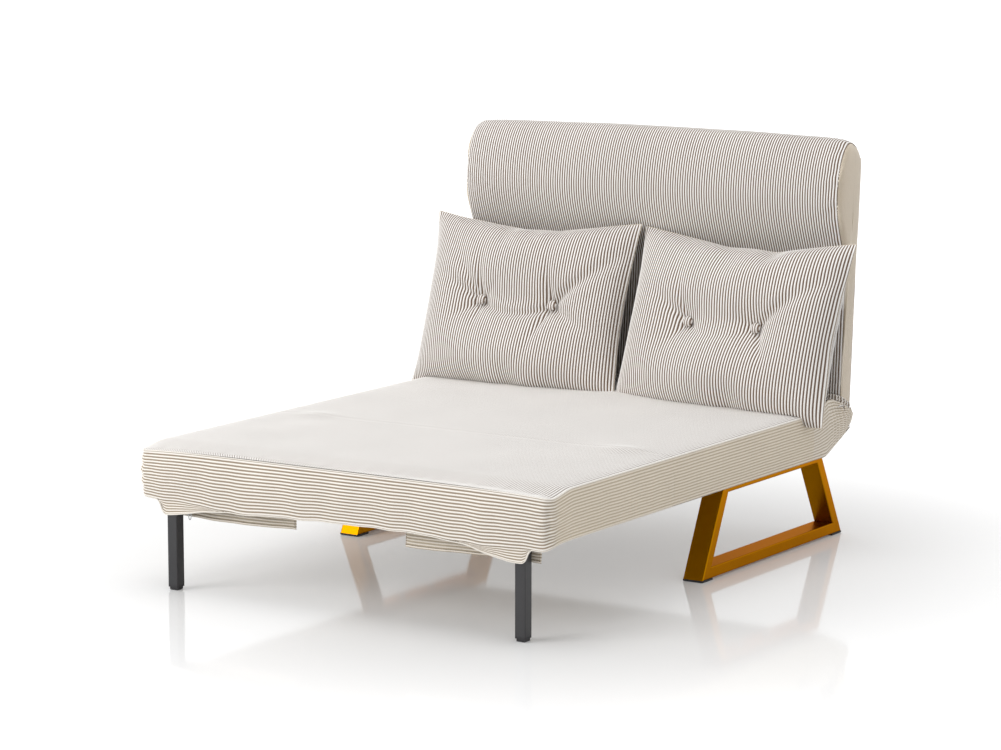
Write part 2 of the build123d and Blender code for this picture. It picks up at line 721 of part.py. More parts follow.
# Loose pillows: two crowned halves on a drawn-in seam, sewn through with two covered buttons
half_thick = pillow_thick / 2
front_half = loft([pillow_ring(grow, rise * half_thick) for grow, rise in crown_steps])
pillow = front_half + mirror(front_half, about=Plane.XY)
buttons = []
tuft_bottom = half_thick - tuft_depth
rim_rise = tuft_radius - math.sqrt(tuft_radius**2 - tuft_button_radius**2)
for side in (-1, 1):
    for face in (-1, 1):
        x = side * tuft_apart / 2
        pillow -= Pos(x, 0, face * (tuft_bottom + tuft_radius)) * Sphere(tuft_radius)
        seat_level = tuft_bottom + rim_rise + fit_gap
        button = Cylinder(tuft_button_radius, tuft_button_thick)
        button = fillet(button.faces().sort_by(Axis.Z)[-1].edges(), tuft_button_thick / 2)
        button = Pos(x, 0, seat_level + tuft_button_thick / 2) * button
        buttons.append(button if face > 0 else mirror(button, about=Plane.XY))
buttons = Compound([piece.solids()[0] for piece in buttons])
for name, side in (("left", -1), ("right", 1)):
    # The pillow's face turns to the front, then it leans back and its outer end swings forward
    upright = Rot(0, 0, -side * pillow_turn_angle) * Rot(-pillow_lean_angle, 0, 0) * Rot(90, 0, 0)
    centre_x = side * (pillow_wide / 2 + pillow_from_middle)
    rise = -(upright * pillow).bounding_box().min.Z
    spot = Pos(centre_x, 0, mattress_top + fit_gap + rise)
    middle_back = pillow_tall / 2 * math.sin(math.radians(pillow_lean_angle))
    back_y = pivot_y - pillow_from_pivot + middle_back
    spot = Pos(0, back_y, 0) * spot * upright
    nodes[f"pillow_{name}"] = spot * pillow
    nodes[f"pillow_buttons_{name}"] = spot * buttons

# Everything moves together so that the part is centred over its footprint
extent = Compound([solid for shape in nodes.values() for solid in shape.solids()]).bounding_box()
centred = Pos(0, -(extent.min.Y + extent.max.Y) / 2, 0)
os.makedirs("parts", exist_ok=True)
for name, shape in nodes.items():
    export_step(centred * Compound(list(shape.solids())), f"parts/{name}.step")
print("depth", extent.size.Y, "width", extent.size.X, "height", extent.size.Z)
print("front of mattress at Y", -(extent.min.Y + extent.max.Y) / 2)
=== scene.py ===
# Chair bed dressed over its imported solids. Metres, +Z up, the front towards -Y.
import math

import bpy
import numpy as np
from mathutils import Matrix, Vector


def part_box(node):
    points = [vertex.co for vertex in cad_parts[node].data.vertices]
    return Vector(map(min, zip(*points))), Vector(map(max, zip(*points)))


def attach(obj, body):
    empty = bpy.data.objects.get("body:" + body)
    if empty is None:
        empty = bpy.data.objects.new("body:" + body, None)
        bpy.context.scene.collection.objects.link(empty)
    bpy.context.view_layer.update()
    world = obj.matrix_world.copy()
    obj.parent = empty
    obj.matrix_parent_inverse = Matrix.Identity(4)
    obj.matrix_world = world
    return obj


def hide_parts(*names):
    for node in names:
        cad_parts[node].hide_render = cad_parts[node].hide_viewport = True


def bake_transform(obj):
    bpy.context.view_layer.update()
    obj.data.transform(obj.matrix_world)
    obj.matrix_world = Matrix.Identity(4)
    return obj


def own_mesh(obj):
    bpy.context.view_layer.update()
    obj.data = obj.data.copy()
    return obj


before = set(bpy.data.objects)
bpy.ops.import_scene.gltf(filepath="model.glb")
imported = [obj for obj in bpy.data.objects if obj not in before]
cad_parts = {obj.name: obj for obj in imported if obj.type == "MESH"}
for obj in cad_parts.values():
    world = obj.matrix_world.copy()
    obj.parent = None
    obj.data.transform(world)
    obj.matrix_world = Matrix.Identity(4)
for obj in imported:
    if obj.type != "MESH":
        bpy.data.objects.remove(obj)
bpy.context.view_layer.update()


# Loop legs: two closed loops of 50 x 25 mm steel tube, mitred, welded, ground and sprayed gold.
# Each stands on two black moulded glides and is bolted up into the seat frame.
def linear(code):
    """Linear RGBA from an sRGB hex value."""
    shares = [int(code[k : k + 2], 16) / 255 for k in (1, 3, 5)]
    return [c / 12.92 if c <= 0.04045 else ((c + 0.055) / 1.055) ** 2.4 for c in shares] + [1.0]


def add(tree, kind, inputs=(), **settings):
    """A node with its settings made and its inputs set or linked."""
    node = tree.nodes.new(kind)
    for key, value in settings.items():
        setattr(node, key, value)
    for key, value in dict(inputs).items():
        if isinstance(value, bpy.types.NodeSocket):
            tree.links.new(value, node.inputs[key])
        else:
            node.inputs[key].default_value = value
    return node


def start_material(name, sockets):
    """A material with its shader's constant sockets set: material, tree, shader and coordinates."""
    material = bpy.data.materials.new(name)
    material.use_nodes = True
    tree = material.node_tree
    shader = tree.nodes["Principled BSDF"]
    for key, value in sockets.items():
        shader.inputs[key].default_value = value
    return material, tree, shader, add(tree, "ShaderNodeTexCoord").outputs["Object"]


def two_tone(tree, shader, vector, patch, detail, one, other):
    """Let the colour drift between two tones, in patches of the given size."""
    patches = {"Vector": vector, "Scale": 1 / patch, "Detail": detail}
    noise = add(tree, "ShaderNodeTexNoise", patches)
    mixed = {0: noise.outputs["Fac"], 6: linear(one), 7: linear(other)}
    shade = add(tree, "ShaderNodeMix", mixed, data_type="RGBA")
    tree.links.new(shade.outputs[2], shader.inputs["Base Color"])


def fine_finish(name, one, other, sockets):
    """A nearly even finish: its colour drifts over hand-sized patches, under a 2 mm grain.

    The grain is orange peel on paint, mould texture on nylon and the weave on tape and thread.
    """
    drift_patch, grain, grain_depth = 0.07, 0.002, 0.0002
    material, tree, shader, place = start_material(name, sockets)
    two_tone(tree, shader, place, drift_patch, 4, one, other)
    peel = add(tree, "ShaderNodeTexNoise", {"Vector": place, "Scale": 1 / grain, "Detail": 2})
    relief = {"Height": peel.outputs["Fac"], "Strength": 0.12, "Distance": grain_depth}
    bump = add(tree, "ShaderNodeBump", relief)
    tree.links.new(bump.outputs["Normal"], shader.inputs["Normal"])
    return material


def dress(material, *names):
    """Give CAD nodes their finish."""
    for name in names:
        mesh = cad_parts[name].data
        mesh.materials.clear()
        mesh.materials.append(material)


# Metallic gold spray paint: satin, with warm and fairly sharp reflections
gold_sockets = {"Metallic": 0.95, "Roughness": 0.28, "Specular Tint": linear("#D8A860")}
gold_paint = fine_finish("satin_gold_paint", "#B27800", "#A66E00", gold_sockets)
dress(gold_paint, "rear_leg_left", "rear_leg_right")
# Injection-moulded black nylon: matt, with a soft highlight
moulded_black = fine_finish("moulded_black_nylon", "#1D1C1E", "#242326", {"Roughness": 0.55})
dress(moulded_black, "rear_leg_glides")
# Bright zinc plating: bluish grey and half blurred
zinc_sockets = {"Metallic": 1.0, "Roughness": 0.34}
zinc_plate = fine_finish("zinc_plated_steel", "#C4C6C9", "#AEB1B5", zinc_sockets)
dress(zinc_plate, "rear_leg_bolts")


# Seat frame: square steel tube with sprung birch slats in nylon end caps, black powder coat.
# The toothed recline wheels, their plates and pins and the fold hinges are welded or riveted to it.
powder_black = fine_finish("black_powder_coat", "#252428", "#1E1D21", {"Roughness": 0.5})
dress(powder_black, "seat_frame", "recline_seat_plates", "fold_seat_plates")
dress(zinc_plate, "recline_pins", "recline_ratchet_wheels", "fold_pins")
dress(moulded_black, "seat_slat_caps")


def slat_birch():
    """Steamed birch plywood: straight pale grain along the slat, with darker fibres."""
    fibre_long, fibre_wide = 0.25, 0.006
    material, tree, shader, place = start_material("steamed_birch", {"Roughness": 0.5})
    stretch = (1 / fibre_long, 1 / fibre_wide, 1 / fibre_wide)
    turn = add(tree, "ShaderNodeMapping", {"Vector": place, "Scale": stretch})
    two_tone(tree, shader, turn.outputs["Vector"], 1.0, 6, "#E3C796", "#C59F68")
    return material


birch = slat_birch()
dress(birch, "seat_slats")


# Seat cushion: a foam block in a sewn cover of wide-wale cotton corduroy, on the seat body.
# Top and underside wales run front to back, boxing wales along it; its edges are welted seams.
# In these sections f is the distance behind the front edge.
wale_pitch = 0.00645
wale_rise = 0.0017
# One wale: places across it and how high each stands
wale_steps = [(0, 0), (0.18, 0.3), (0.34, 0.82), (0.5, 1), (0.66, 0.82), (0.82, 0.3)]
side_wales = 16
seam_allowance = 0.0025
cover_slack = 0.0005
front_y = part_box("front_cover")[0].y
seat_low, seat_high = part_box("seat_cover")
fold_f = seat_low.y - front_y - cover_slack
pivot_f = seat_high.y - front_y
under_z, top_z = seat_low.z, seat_high.z
edge_x = seat_high.x - cover_slack
seam_top = top_z - 0.0035
seam_low = under_z - 0.001


def corduroy_cloth():
    """Cotton corduroy: soft raised pile in ridges; the grooves are drawn darker, partly for the
    ground weave and partly as painted shade in them.

    Panels turned away from the light are drawn in a tanner tone with fainter grooves, as painted
    shade.
    """
    # Groove and crest tones: first for lit panels, then for panels in painted shade; the dark
    # grooves are partly painted shade
    lit_and_shaded_tones = (("#6E5745", "#FCFAF7"), ("#CBBEA8", "#F0E6D7"))
    # Pile flecks are 0.4 mm on the cloth; they are drawn at 1.2 mm so that they show
    fleck_size, fleck_depth, drift_patch = 0.0012, 0.0005, 0.18
    sockets = {"Roughness": 0.92, "Specular IOR Level": 0.12}
    sockets |= {"Sheen Weight": 0.12, "Sheen Roughness": 0.5}
    material, tree, shader, place = start_material("cream_cotton_corduroy", sockets)
    # Per point: how dark the wale is drawn, partly painted shade, and how much painted shade its
    # panel takes
    wale_shade = add(tree, "ShaderNodeAttribute", attribute_name="wale").outputs["Fac"]
    painted_shade = add(tree, "ShaderNodeAttribute", attribute_name="painted_shade").outputs["Fac"]
    rise = {"Value": wale_shade, "From Min": 0.1, "From Max": 0.95}
    lift = add(tree, "ShaderNodeMapRange", rise, interpolation_type="SMOOTHSTEP").outputs["Result"]
    tones = []
    for groove, crest in lit_and_shaded_tones:
        mixed = {0: lift, 6: linear(groove), 7: linear(crest)}
        tones.append(add(tree, "ShaderNodeMix", mixed, data_type="RGBA").outputs[2])
    pile = add(tree, "ShaderNodeMix", {0: painted_shade, 6: tones[0], 7: tones[1]}, data_type="RGBA")
    fine = {"Vector": place, "Scale": 1 / fleck_size, "Detail": 2}
    broad = {"Vector": place, "Scale": 1 / drift_patch, "Detail": 3}
    fleck, drift = (add(tree, "ShaderNodeTexNoise", kind) for kind in (fine, broad))
    sum_of = {0: fleck.outputs["Fac"], 1: drift.outputs["Fac"]}
    both = add(tree, "ShaderNodeMath", sum_of, operation="ADD")
    range_of = {"From Min": 0.6, "From Max": 1.4, "To Min": 0.95, "To Max": 1.03}
    tone = add(tree, "ShaderNodeMapRange", {"Value": both.outputs[0], **range_of})
    scaled = {0: pile.outputs[2], "Scale": tone.outputs["Result"]}
    shade = add(tree, "ShaderNodeVectorMath", scaled, operation="SCALE")
    tree.links.new(shade.outputs[0], shader.inputs["Base Color"])
    relief = {"Height": fleck.outputs["Fac"], "Strength": 0.3, "Distance": fleck_depth}
    bump = add(tree, "ShaderNodeBump", relief)
    tree.links.new(bump.outputs["Normal"], shader.inputs["Normal"])
    return material


corduroy = corduroy_cloth()


def spread(places, count):
    """Weights that read a row of count points smoothly at places from 0 to 1."""
    at = np.asarray(places, float) * (count - 1)
    cell = np.clip(np.floor(at).astype(int), 0, count - 2)
    t = (at - cell)[:, None]
    four = 0.5 * np.hstack(
        [-t + 2 * t**2 - t**3, 2 - 5 * t**2 + 3 * t**3, t + 4 * t**2 - 3 * t**3, t**3 - t**2]
    )
    weights = np.zeros((len(at), count + 2))
    for k in range(4):
        weights[np.arange(len(at)), cell + k] += four[:, k]
    inner = weights[:, 1:-1]
    inner[:, 0] += 2 * weights[:, 0]
    inner[:, 1] -= weights[:, 0]
    inner[:, -1] += 2 * weights[:, -1]
    inner[:, -2] -= weights[:, -1]
    return inner


def reread(grid, across, along):
    """A grid of points read smoothly at other places along both its axes."""
    first, second = spread(across, grid.shape[0]), spread(along, grid.shape[1])
    return np.einsum("ia,abc,jb->ijc", first, grid, second, optimize=True)


def run_of(grid, axis):
    """Mean length of a grid of points along one of its axes."""
    return float(np.linalg.norm(np.diff(grid, axis=axis), axis=2).sum(axis).mean())


def grid_faces(number):
    """Corners of the four-sided faces between the point numbers of a grid."""
    corners = [number[:-1, :-1], number[1:, :-1], number[1:, 1:], number[:-1, 1:]]
    return np.stack(corners, -1).reshape(-1, 4)


def make_piece(name, points, faces, material, fields=()):
    """A smooth-shaded mesh object from arrays of points and four-sided faces."""
    used, corners = np.unique(faces, return_inverse=True)
    mesh = bpy.data.meshes.new(name)
    mesh.vertices.add(len(used))
    mesh.vertices.foreach_set("co", np.asarray(points, np.float32)[used].ravel())
    mesh.loops.add(corners.size)
    mesh.loops.foreach_set("vertex_index", corners.ravel().astype(np.int32))
    mesh.polygons.add(corners.size // 4)
    mesh.polygons.foreach_set("loop_start", np.arange(0, corners.size, 4, dtype=np.int32))
    mesh.update(calc_edges=True)
    mesh.polygons.foreach_set("use_smooth", np.ones(len(mesh.polygons), bool))
    for label, values in dict(fields).items():
        field = mesh.attributes.new(label, "FLOAT", "POINT")
        field.data.foreach_set("value", np.asarray(values, np.float32)[used])
    mesh.materials.append(material)
    piece = bpy.data.objects.new(name, mesh)
    bpy.context.scene.collection.objects.link(piece)
    return piece


def panel(grid, wales=None, cut=(True, True), painted_shade=0.0, depth=1.0):
    """A cover panel: points whose first axis crosses the wales, the ends where the wales sink,
    its share of painted shade along the wales and how dark its grooves are drawn, partly as painted
    shade."""
    wales = wales or max(1, round(run_of(grid, 0) / wale_pitch))
    return {"grid": grid, "wales": wales, "cut": cut, "painted_shade": np.atleast_1d(painted_shade), "depth": depth}


def corduroy_piece(name, panels, centre, step=0.011, keep=None):
    """One cover from its panels, with a raised wale to each step across them."""
    points, faces, wale_shade, painted_shades, start = [], [], [], [], 0
    for part in panels:
        grid, wales = part["grid"], part["wales"]
        places = [(k + share) / wales for k in range(wales) for share, _ in wale_steps] + [1.0]
        levels = np.array([level for _, level in wale_steps] * wales + [0.0])
        length = run_of(grid, 1)
        inner_run = length - 2 * seam_allowance
        inner_count = max(2, round(inner_run / step)) + 1
        inner = np.linspace(seam_allowance, length - seam_allowance, inner_count) / length
        rows = np.concatenate([[0.0], inner, [1.0]])
        skin = reread(grid, places, rows)
        normal = np.cross(np.gradient(skin, axis=0), np.gradient(skin, axis=1))
        normal /= np.maximum(np.linalg.norm(normal, axis=2, keepdims=True), 1e-12)
        outward = np.sum(normal * (skin - np.asarray(centre))) > 0
        level = np.repeat(levels[:, None], len(rows), 1)
        # Grooves drawn darker: partly the ground weave, partly painted shade; depth sets how much
        shade = 1 - part["depth"] * (1 - level)
        level[:, 0] *= not part["cut"][0]
        level[:, -1] *= not part["cut"][1]
        skin = skin + normal * (wale_rise * level * (1 if outward else -1))[:, :, None]
        number = start + np.arange(skin.shape[0] * skin.shape[1]).reshape(skin.shape[:2])
        quads = grid_faces(number) if outward else grid_faces(number)[:, ::-1]
        if keep is not None:
            quads = quads[keep(skin.reshape(-1, 3)[quads - start].mean(1))]
        points.append(skin.reshape(-1, 3))
        faces.append(quads)
        wale_shade.append(shade.ravel())
        # Share of painted shade along the panel: the tanner tone of panels turned from the light
        painted_shade = np.interp(rows, np.linspace(0, 1, len(part["painted_shade"])), part["painted_shade"])
        painted_shades.append(np.repeat(painted_shade[None, :], len(levels), 0).ravel())
        start += number.size
    fields = {"wale": np.concatenate(wale_shade), "painted_shade": np.concatenate(painted_shades)}
    return make_piece(name, np.concatenate(points), np.concatenate(faces), corduroy, fields)


def ripple(run, wave, phase=0.0):
    """Uneven waves along a run, the same each time."""
    turn = 2 * np.pi * np.asarray(run) / wave + phase
    return (np.sin(turn) + 0.6 * np.sin(1.618 * turn + 2.1) + 0.4 * np.sin(0.59 * turn + 4.0)) / 2


def near(distance, reach):
    """Share that falls from 1 with distance."""
    return np.exp(-np.abs(distance) / reach)


def bell(value, middle, width):
    """Smooth bump round a middle value."""
    return np.exp(-(((value - middle) / width) ** 2))


def ramp(value, start, end):
    """Share that grows from 0 at start to 1 at end."""
    return np.clip((value - start) / (end - start), 0, 1)


def grid_of(make, first, second):
    """Grid of points from a function of two running values."""
    a, b = np.meshgrid(first, second, indexing="ij")
    return np.stack(np.broadcast_arrays(*make(a, b)), -1)


corner_radius = 0.018
hinge_x = 0.4005
side_lift, front_lift = 0.0115, 0.006
lift_start, lift_full = 0.004, 0.089
crown = 0.0030
roll_reach, tuck_reach = 0.012, 0.01
skin_gap = 0.0004
boxing_belly, boxing_wave = 0.0035, 0.0008
fold_pinch, fold_pinch_wide, fold_crease = 0.0010, 0.005, 0.0012


def half_width_at(f):
    """Half the mattress width, drawn in round the front corners."""
    into = np.clip(corner_radius - f, 0, corner_radius)
    return edge_x - corner_radius + np.sqrt(corner_radius**2 - into**2)


def fullness(x, f):
    """How far the filling lifts the top over its flat cut: least at the front corners."""
    share = ramp(f, lift_start, lift_full)
    share = share * share * (3 - 2 * share)
    return side_lift * share + front_lift * (1 - share) * (1 - np.abs(x / edge_x) ** 6)


def top_height(x, f):
    """Height of the mattress top: a low crown that rolls down to the seams, puckered along them."""
    side_high, front_high, uneven_high = 0.0007, 0.0010, 0.0008
    dip_deep, eye_high = 0.0008, 0.0046
    side = half_width_at(f) - np.abs(x)
    roll = 1 - (1 - near(side, roll_reach)) * (1 - near(f, roll_reach))
    side_pucker = near(side, reach=0.02) * (1 - near(side, reach=0.004))
    side_pucker = side_pucker * ripple(f + 0.3 * np.sign(x), wave=0.06)
    front_pucker = near(f, reach=0.025) * (1 - near(f, reach=0.005))
    front_pucker = front_pucker * ripple(x, wave=0.055, phase=1.0)
    uneven = ripple(x + 0.3 * f, wave=0.31) * ripple(f, wave=0.4, phase=2.0) * (1 - roll)
    # The cloth dips at the fold and rides over the eyes of the fold hinges
    fold_dip = bell(f, fold_f, width=0.006)
    hinge_eye = bell(np.abs(x), hinge_x, width=0.05) * bell(f, fold_f, width=0.035)
    height = top_z + fullness(x, f) + crown * (1 - (x / edge_x) ** 4) - (top_z - seam_top) * roll
    height += side_high * side_pucker + front_high * front_pucker + uneven_high * uneven
    return height - dip_deep * fold_dip + eye_high * hinge_eye


rise_start, rear_rise = pivot_f - 0.119, 0.050


def chamfer_height(f):
    """Underside of the seat, which rises towards the foot of the backrest."""
    return under_z + rear_rise * ramp(f, rise_start, pivot_f)


def mattress_top(f_start, f_end):
    """Top panel of a section, from one distance behind the front edge to another."""

    def place(share, f):
        x = share * half_width_at(f)
        return x, f + front_y, top_height(x, f)

    return grid_of(place, np.linspace(-1, 1, 131), np.linspace(f_start, f_end, 61))


fold_gap = 0.0002
seat_start = fold_f + fold_gap
cheek_f = pivot_f - 0.185
seat_end = pivot_f - 0.030


def seat_side(side):
    """Boxing strip along one side of the seat, pinched at the fold."""

    def place(share, f):
        low = chamfer_height(f) + seam_low - under_z
        belly = np.sin(np.pi * share)
        bulge = boxing_belly + boxing_wave * ripple(f, wave=0.13, phase=side)
        bulge -= fold_pinch * bell(f, fold_f, fold_pinch_wide)
        bulge += fold_crease * bell(f, fold_f - 0.012, width=0.006) * ripple(share, wave=0.9)
        height = low + (seam_top + fullness(edge_x, f) - low) * share
        return side * (edge_x + bulge * belly), f + front_y, height

    return grid_of(place, np.linspace(0, 1, 13), np.linspace(seat_start, cheek_f, 90))


def seat_under():
    """Underside of the seat, tucked down to its side seams."""

    def place(share, f):
        x = share * half_width_at(f)
        tuck = near(half_width_at(f) - np.abs(x), tuck_reach) * (seam_low - under_z)
        return x, f + front_y, chamfer_height(f) + tuck - skin_gap

    return grid_of(place, np.linspace(-1, 1, 61), np.linspace(seat_start, pivot_f, 41))


def fold_face(f):
    """Upright face of a section at the fold."""

    def place(share, x):
        low = under_z + near(edge_x - np.abs(x), tuck_reach) * (seam_low - under_z) - skin_gap
        return x, f + front_y, low + (top_height(x, f) - low) * share

    return grid_of(place, np.linspace(0, 1, 7), np.linspace(-edge_x, edge_x, 131))


pivot_z = top_z - 0.026


def seat_rear_face():
    """Hollow rear face that cradles the round foot of the backrest."""
    reach, depth, brim = 0.0286, 0.0165, 0.006
    turns = np.radians(np.linspace(180, 270, 8))
    f_line = np.concatenate([[seat_end, seat_end], pivot_f + reach * np.cos(turns), [pivot_f]])
    z_low = chamfer_height(np.array(pivot_f))
    z_line = np.concatenate([[top_z, pivot_z + brim], pivot_z + depth * np.sin(turns), [z_low]])

    def place(x, k):
        return x, f_line[k] + front_y, np.where(k == 0, top_height(x, seat_end), z_line[k])

    return grid_of(place, np.linspace(-edge_x, edge_x, 61), np.arange(len(f_line)))


# Painted shade: the side boxing and the underside are drawn in the tanner shaded tone; painted
# light: the top, under the lamps, has its grooves drawn fainter
seat_cushion = corduroy_piece(
    "seat_cushion",
    [
        panel(mattress_top(seat_start, seat_end), cut=(False, True), depth=0.7),
        *(panel(seat_side(side), side_wales, (False, False), painted_shade=1.0) for side in (-1, 1)),
        panel(seat_under(), cut=(False, True), painted_shade=0.5),
        panel(fold_face(seat_start)),
        panel(seat_rear_face()),
    ],
    (0, front_y + (fold_f + pivot_f) / 2, (top_z + under_z) / 2),
)
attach(seat_cushion, "seat")
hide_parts("seat_pad", "seat_cover")


# Front section: frame and slats as in the seat, in a cushion of the same build with a boxed front.
# It hinges on the seat at the top edge; its hem drops to a cuff before each leg, over a leg pocket.
dress(powder_black, "front_frame", "front_leg_brackets", "fold_front_plates")
dress(zinc_plate, "front_leg_pins")
dress(birch, "front_slats")
dress(moulded_black, "front_slat_caps")
front_end = fold_f - fold_gap
leg_low, leg_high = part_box("front_leg_right")
leg_x = (leg_low.x + leg_high.x) / 2
flap_low, flap_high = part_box("pocket_flap_right")
pocket_x = (flap_low.x, flap_high.x)
pocket_f = (0.006, 0.0365)
pocket_depth = 0.02
cuff_drop = 0.030
cuff_x = (0.30, 0.4722)
cuff_wales = 5
lip_depth, lip_end = 0.0066, 0.012
# Places across the front, and how far the hem hangs under the seam there
hem_x = (-0.52, -0.36, -0.26, -0.125, 0.02, 0.157, 0.353, 0.496, 0.52)
hem_fall = (0.007, 0.012, 0.019, 0.013, 0.010, 0.009, 0.016, 0.012, 0.010)
hem_wave = 0.0016


def hem_base(x):
    """How far the front hem hangs under the seam, away from the cuffs."""
    return np.interp(x, hem_x, hem_fall) + hem_wave * ripple(x, wave=0.12, phase=0.5)


def cuff_height(x):
    """How far the cuff before each leg hangs under the hem: steep outside the leg, easy inside."""
    past_leg, outer_reach, inner_reach = 0.006, 0.018, 0.1
    out = np.abs(x) - leg_x - past_leg
    steep, easy = np.exp(-((out / outer_reach) ** 4)), np.exp(-((out / inner_reach) ** 2))
    return cuff_drop * np.where(out > 0, steep, easy)


def mirrored(half):
    """A plan line that ends in the middle, carried on to the other side."""
    return np.concatenate([half, (half * (-1, 1))[-2::-1]])


def boxing_line():
    """Plan of the boxing strip: one side, both rounded front corners and the other side."""
    turns = np.radians(np.linspace(180, 270, 14))
    arc_x = -edge_x + corner_radius + corner_radius * np.cos(turns)
    arc_f = corner_radius + corner_radius * np.sin(turns)
    side_f = np.linspace(front_end, corner_radius, 60)[:-1]
    front_x = np.linspace(arc_x[-1], 0, 90)[1:]
    line = [(-edge_x, f) for f in side_f] + list(zip(arc_x, arc_f)) + [(x, 0.0) for x in front_x]
    return mirrored(np.array(line)), len(side_f) + len(turns) // 2


def run_along(line):
    """Distance along a line of points."""
    return np.concatenate([[0], np.cumsum(np.linalg.norm(np.diff(line, axis=0), axis=1))])


boxing, corner_at = boxing_line()


def boxing_hem(k):
    """Height of the lower edge of the boxing strip, without its cuffs."""
    return seam_low - near(boxing[k, 1], reach=0.02) * hem_base(boxing[k, 0])


def front_boxing():
    """Boxing strip round the front section, a little loose, with seams at its corners."""
    front_belly, loose_wave, fan_high = 0.002, 0.0018, 0.0048
    seam_deep, pucker_high = 0.0050, 0.0020
    way = np.gradient(boxing, axis=0)
    out = np.stack([way[:, 1], -way[:, 0]], 1)
    out /= np.linalg.norm(out, axis=1, keepdims=True)
    run = run_along(boxing)

    def place(share, k):
        x, f = boxing[k, 0], boxing[k, 1]
        front = near(f, reach=0.03)
        belly = np.sin(np.pi * share)
        bulge = boxing_belly + front_belly * front + loose_wave * ripple(run[k], wave=0.11)
        bulge -= fold_pinch * bell(f, fold_f, fold_pinch_wide)
        bulge = bulge * belly
        # Loose folds fan up from the cuffs
        fan = ripple(x * 1.5 + 0.12 * share * np.sign(x), wave=0.052, phase=1.7)
        fan = fan * bell(np.abs(x), leg_x - 0.02, width=0.075) * share * (1 - share) ** 1.2
        bulge += fan_high * front * fan
        # The corner seams draw in, with puckers on both sides
        for corner in (run[corner_at], run[-1] - run[corner_at]):
            away = run[k] - corner
            pucker = bell(away, 0, width=0.035) * np.sin(24 * share + 90 * np.abs(away))
            bulge += (pucker_high * pucker - seam_deep * bell(away, 0, width=0.006)) * belly
        low = boxing_hem(k)
        height = low + (seam_top + fullness(x, f) - low) * share
        return x + out[k, 0] * bulge, f + out[k, 1] * bulge + front_y, height

    return grid_of(place, np.linspace(0, 1, 17), np.arange(len(boxing)))


def front_cuff(side):
    """Tab of cover that hangs from the hem before a leg, its wales fanning down."""
    set_back, fold_deep = 0.0006, 0.0022

    def place(share, x):
        folds = 0.5 + 0.5 * ripple(x, wave=0.035)
        f = set_back + fold_deep * np.sin(np.pi * share) * folds
        return side * x, f + front_y, seam_low - hem_base(side * x) - cuff_height(x) * share

    return grid_of(place, np.linspace(0, 1, 7), np.linspace(*cuff_x, 60))


def front_under():
    """Underside, whose front lip turns down inside the hem."""
    f_line = np.concatenate([np.linspace(0, lip_depth, 7), np.linspace(lip_end, front_end, 34)])

    def place(share, f):
        x = share * half_width_at(f)
        tuck = np.maximum(near(half_width_at(f) - np.abs(x), tuck_reach), near(f, reach=0.008))
        lip = (hem_base(x) + cuff_height(x)) * np.clip(1 - f / lip_depth, 0, 1)
        return x, f + front_y, under_z + tuck * (seam_low - under_z) - lip - skin_gap

    return grid_of(place, np.linspace(-1, 1, 121), f_line)


def outside_pockets(middle):
    """Faces that are not in the mouth of a leg pocket."""
    x, f = np.abs(middle[:, 0]), middle[:, 1] - front_y
    across = (x > pocket_x[0]) & (x < pocket_x[1])
    along = (f > pocket_f[0]) & (f < pocket_f[1])
    return ~(across & along & (middle[:, 2] < under_z + pocket_depth))


# Painted shade: the boxing turns to the tanner shaded tone from its front round to its sides; the
# cuffs and underside take half of it, and the lit top has fainter grooves
boxing_painted_shade = 0.4 + 0.6 * np.clip(boxing[:, 1] / 0.03, 0, 1)
front_cushion = corduroy_piece(
    "front_cushion",
    [
        panel(mattress_top(0.0, front_end), cut=(True, False), depth=0.7),
        panel(front_boxing(), side_wales, (False, False), painted_shade=boxing_painted_shade),
        *(panel(front_cuff(side), cuff_wales, painted_shade=0.5) for side in (-1, 1)),
        panel(front_under(), cut=(True, False), painted_shade=0.5),
        panel(fold_face(front_end)),
    ],
    (0, front_y + fold_f / 2, (top_z + under_z) / 2),
    step=0.009,
    keep=outside_pockets,
)
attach(front_cushion, "front_section")
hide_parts("front_pad", "front_cover")
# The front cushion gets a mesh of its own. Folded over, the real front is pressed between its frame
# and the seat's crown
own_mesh(front_cushion)


# Welts: a folded edge of plain cotton stands out along the top seams and binds the front hem.
# It is sewn into the seams of both cushions.
welt_radius, welt_out = 0.0013, 0.0006


def plain_cotton():
    """Plain cotton bias binding: matt, pale, with a fine over-and-under weave."""
    thread_wide = 0.0009
    material, tree, shader, place = start_material("cotton_binding", {"Roughness": 0.9})
    two_tone(tree, shader, place, thread_wide, 2, "#E3DBCF", "#F6F2EB")
    return material


binding = plain_cotton()


def start_tree(name, **sockets):
    """A geometry node group with a geometry input and output, and its own named inputs."""
    tree = bpy.data.node_groups.new(name, "GeometryNodeTree")
    tree.interface.new_socket("Geometry", in_out="INPUT", socket_type="NodeSocketGeometry")
    for label, kind in sockets.items():
        tree.interface.new_socket(label, in_out="INPUT", socket_type=f"NodeSocket{kind}")
    tree.interface.new_socket("Geometry", in_out="OUTPUT", socket_type="NodeSocketGeometry")
    return tree, add(tree, "NodeGroupInput").outputs


def spaced_line(tree, given, spacing):
    """The group's lines as curves, with points a given length apart."""
    line = add(tree, "GeometryNodeMeshToCurve", {"Mesh": given["Geometry"]})
    spaced = {"Curve": line.outputs[0], "Length": given[spacing]}
    return add(tree, "GeometryNodeResampleCurve", spaced, mode="LENGTH").outputs[0]


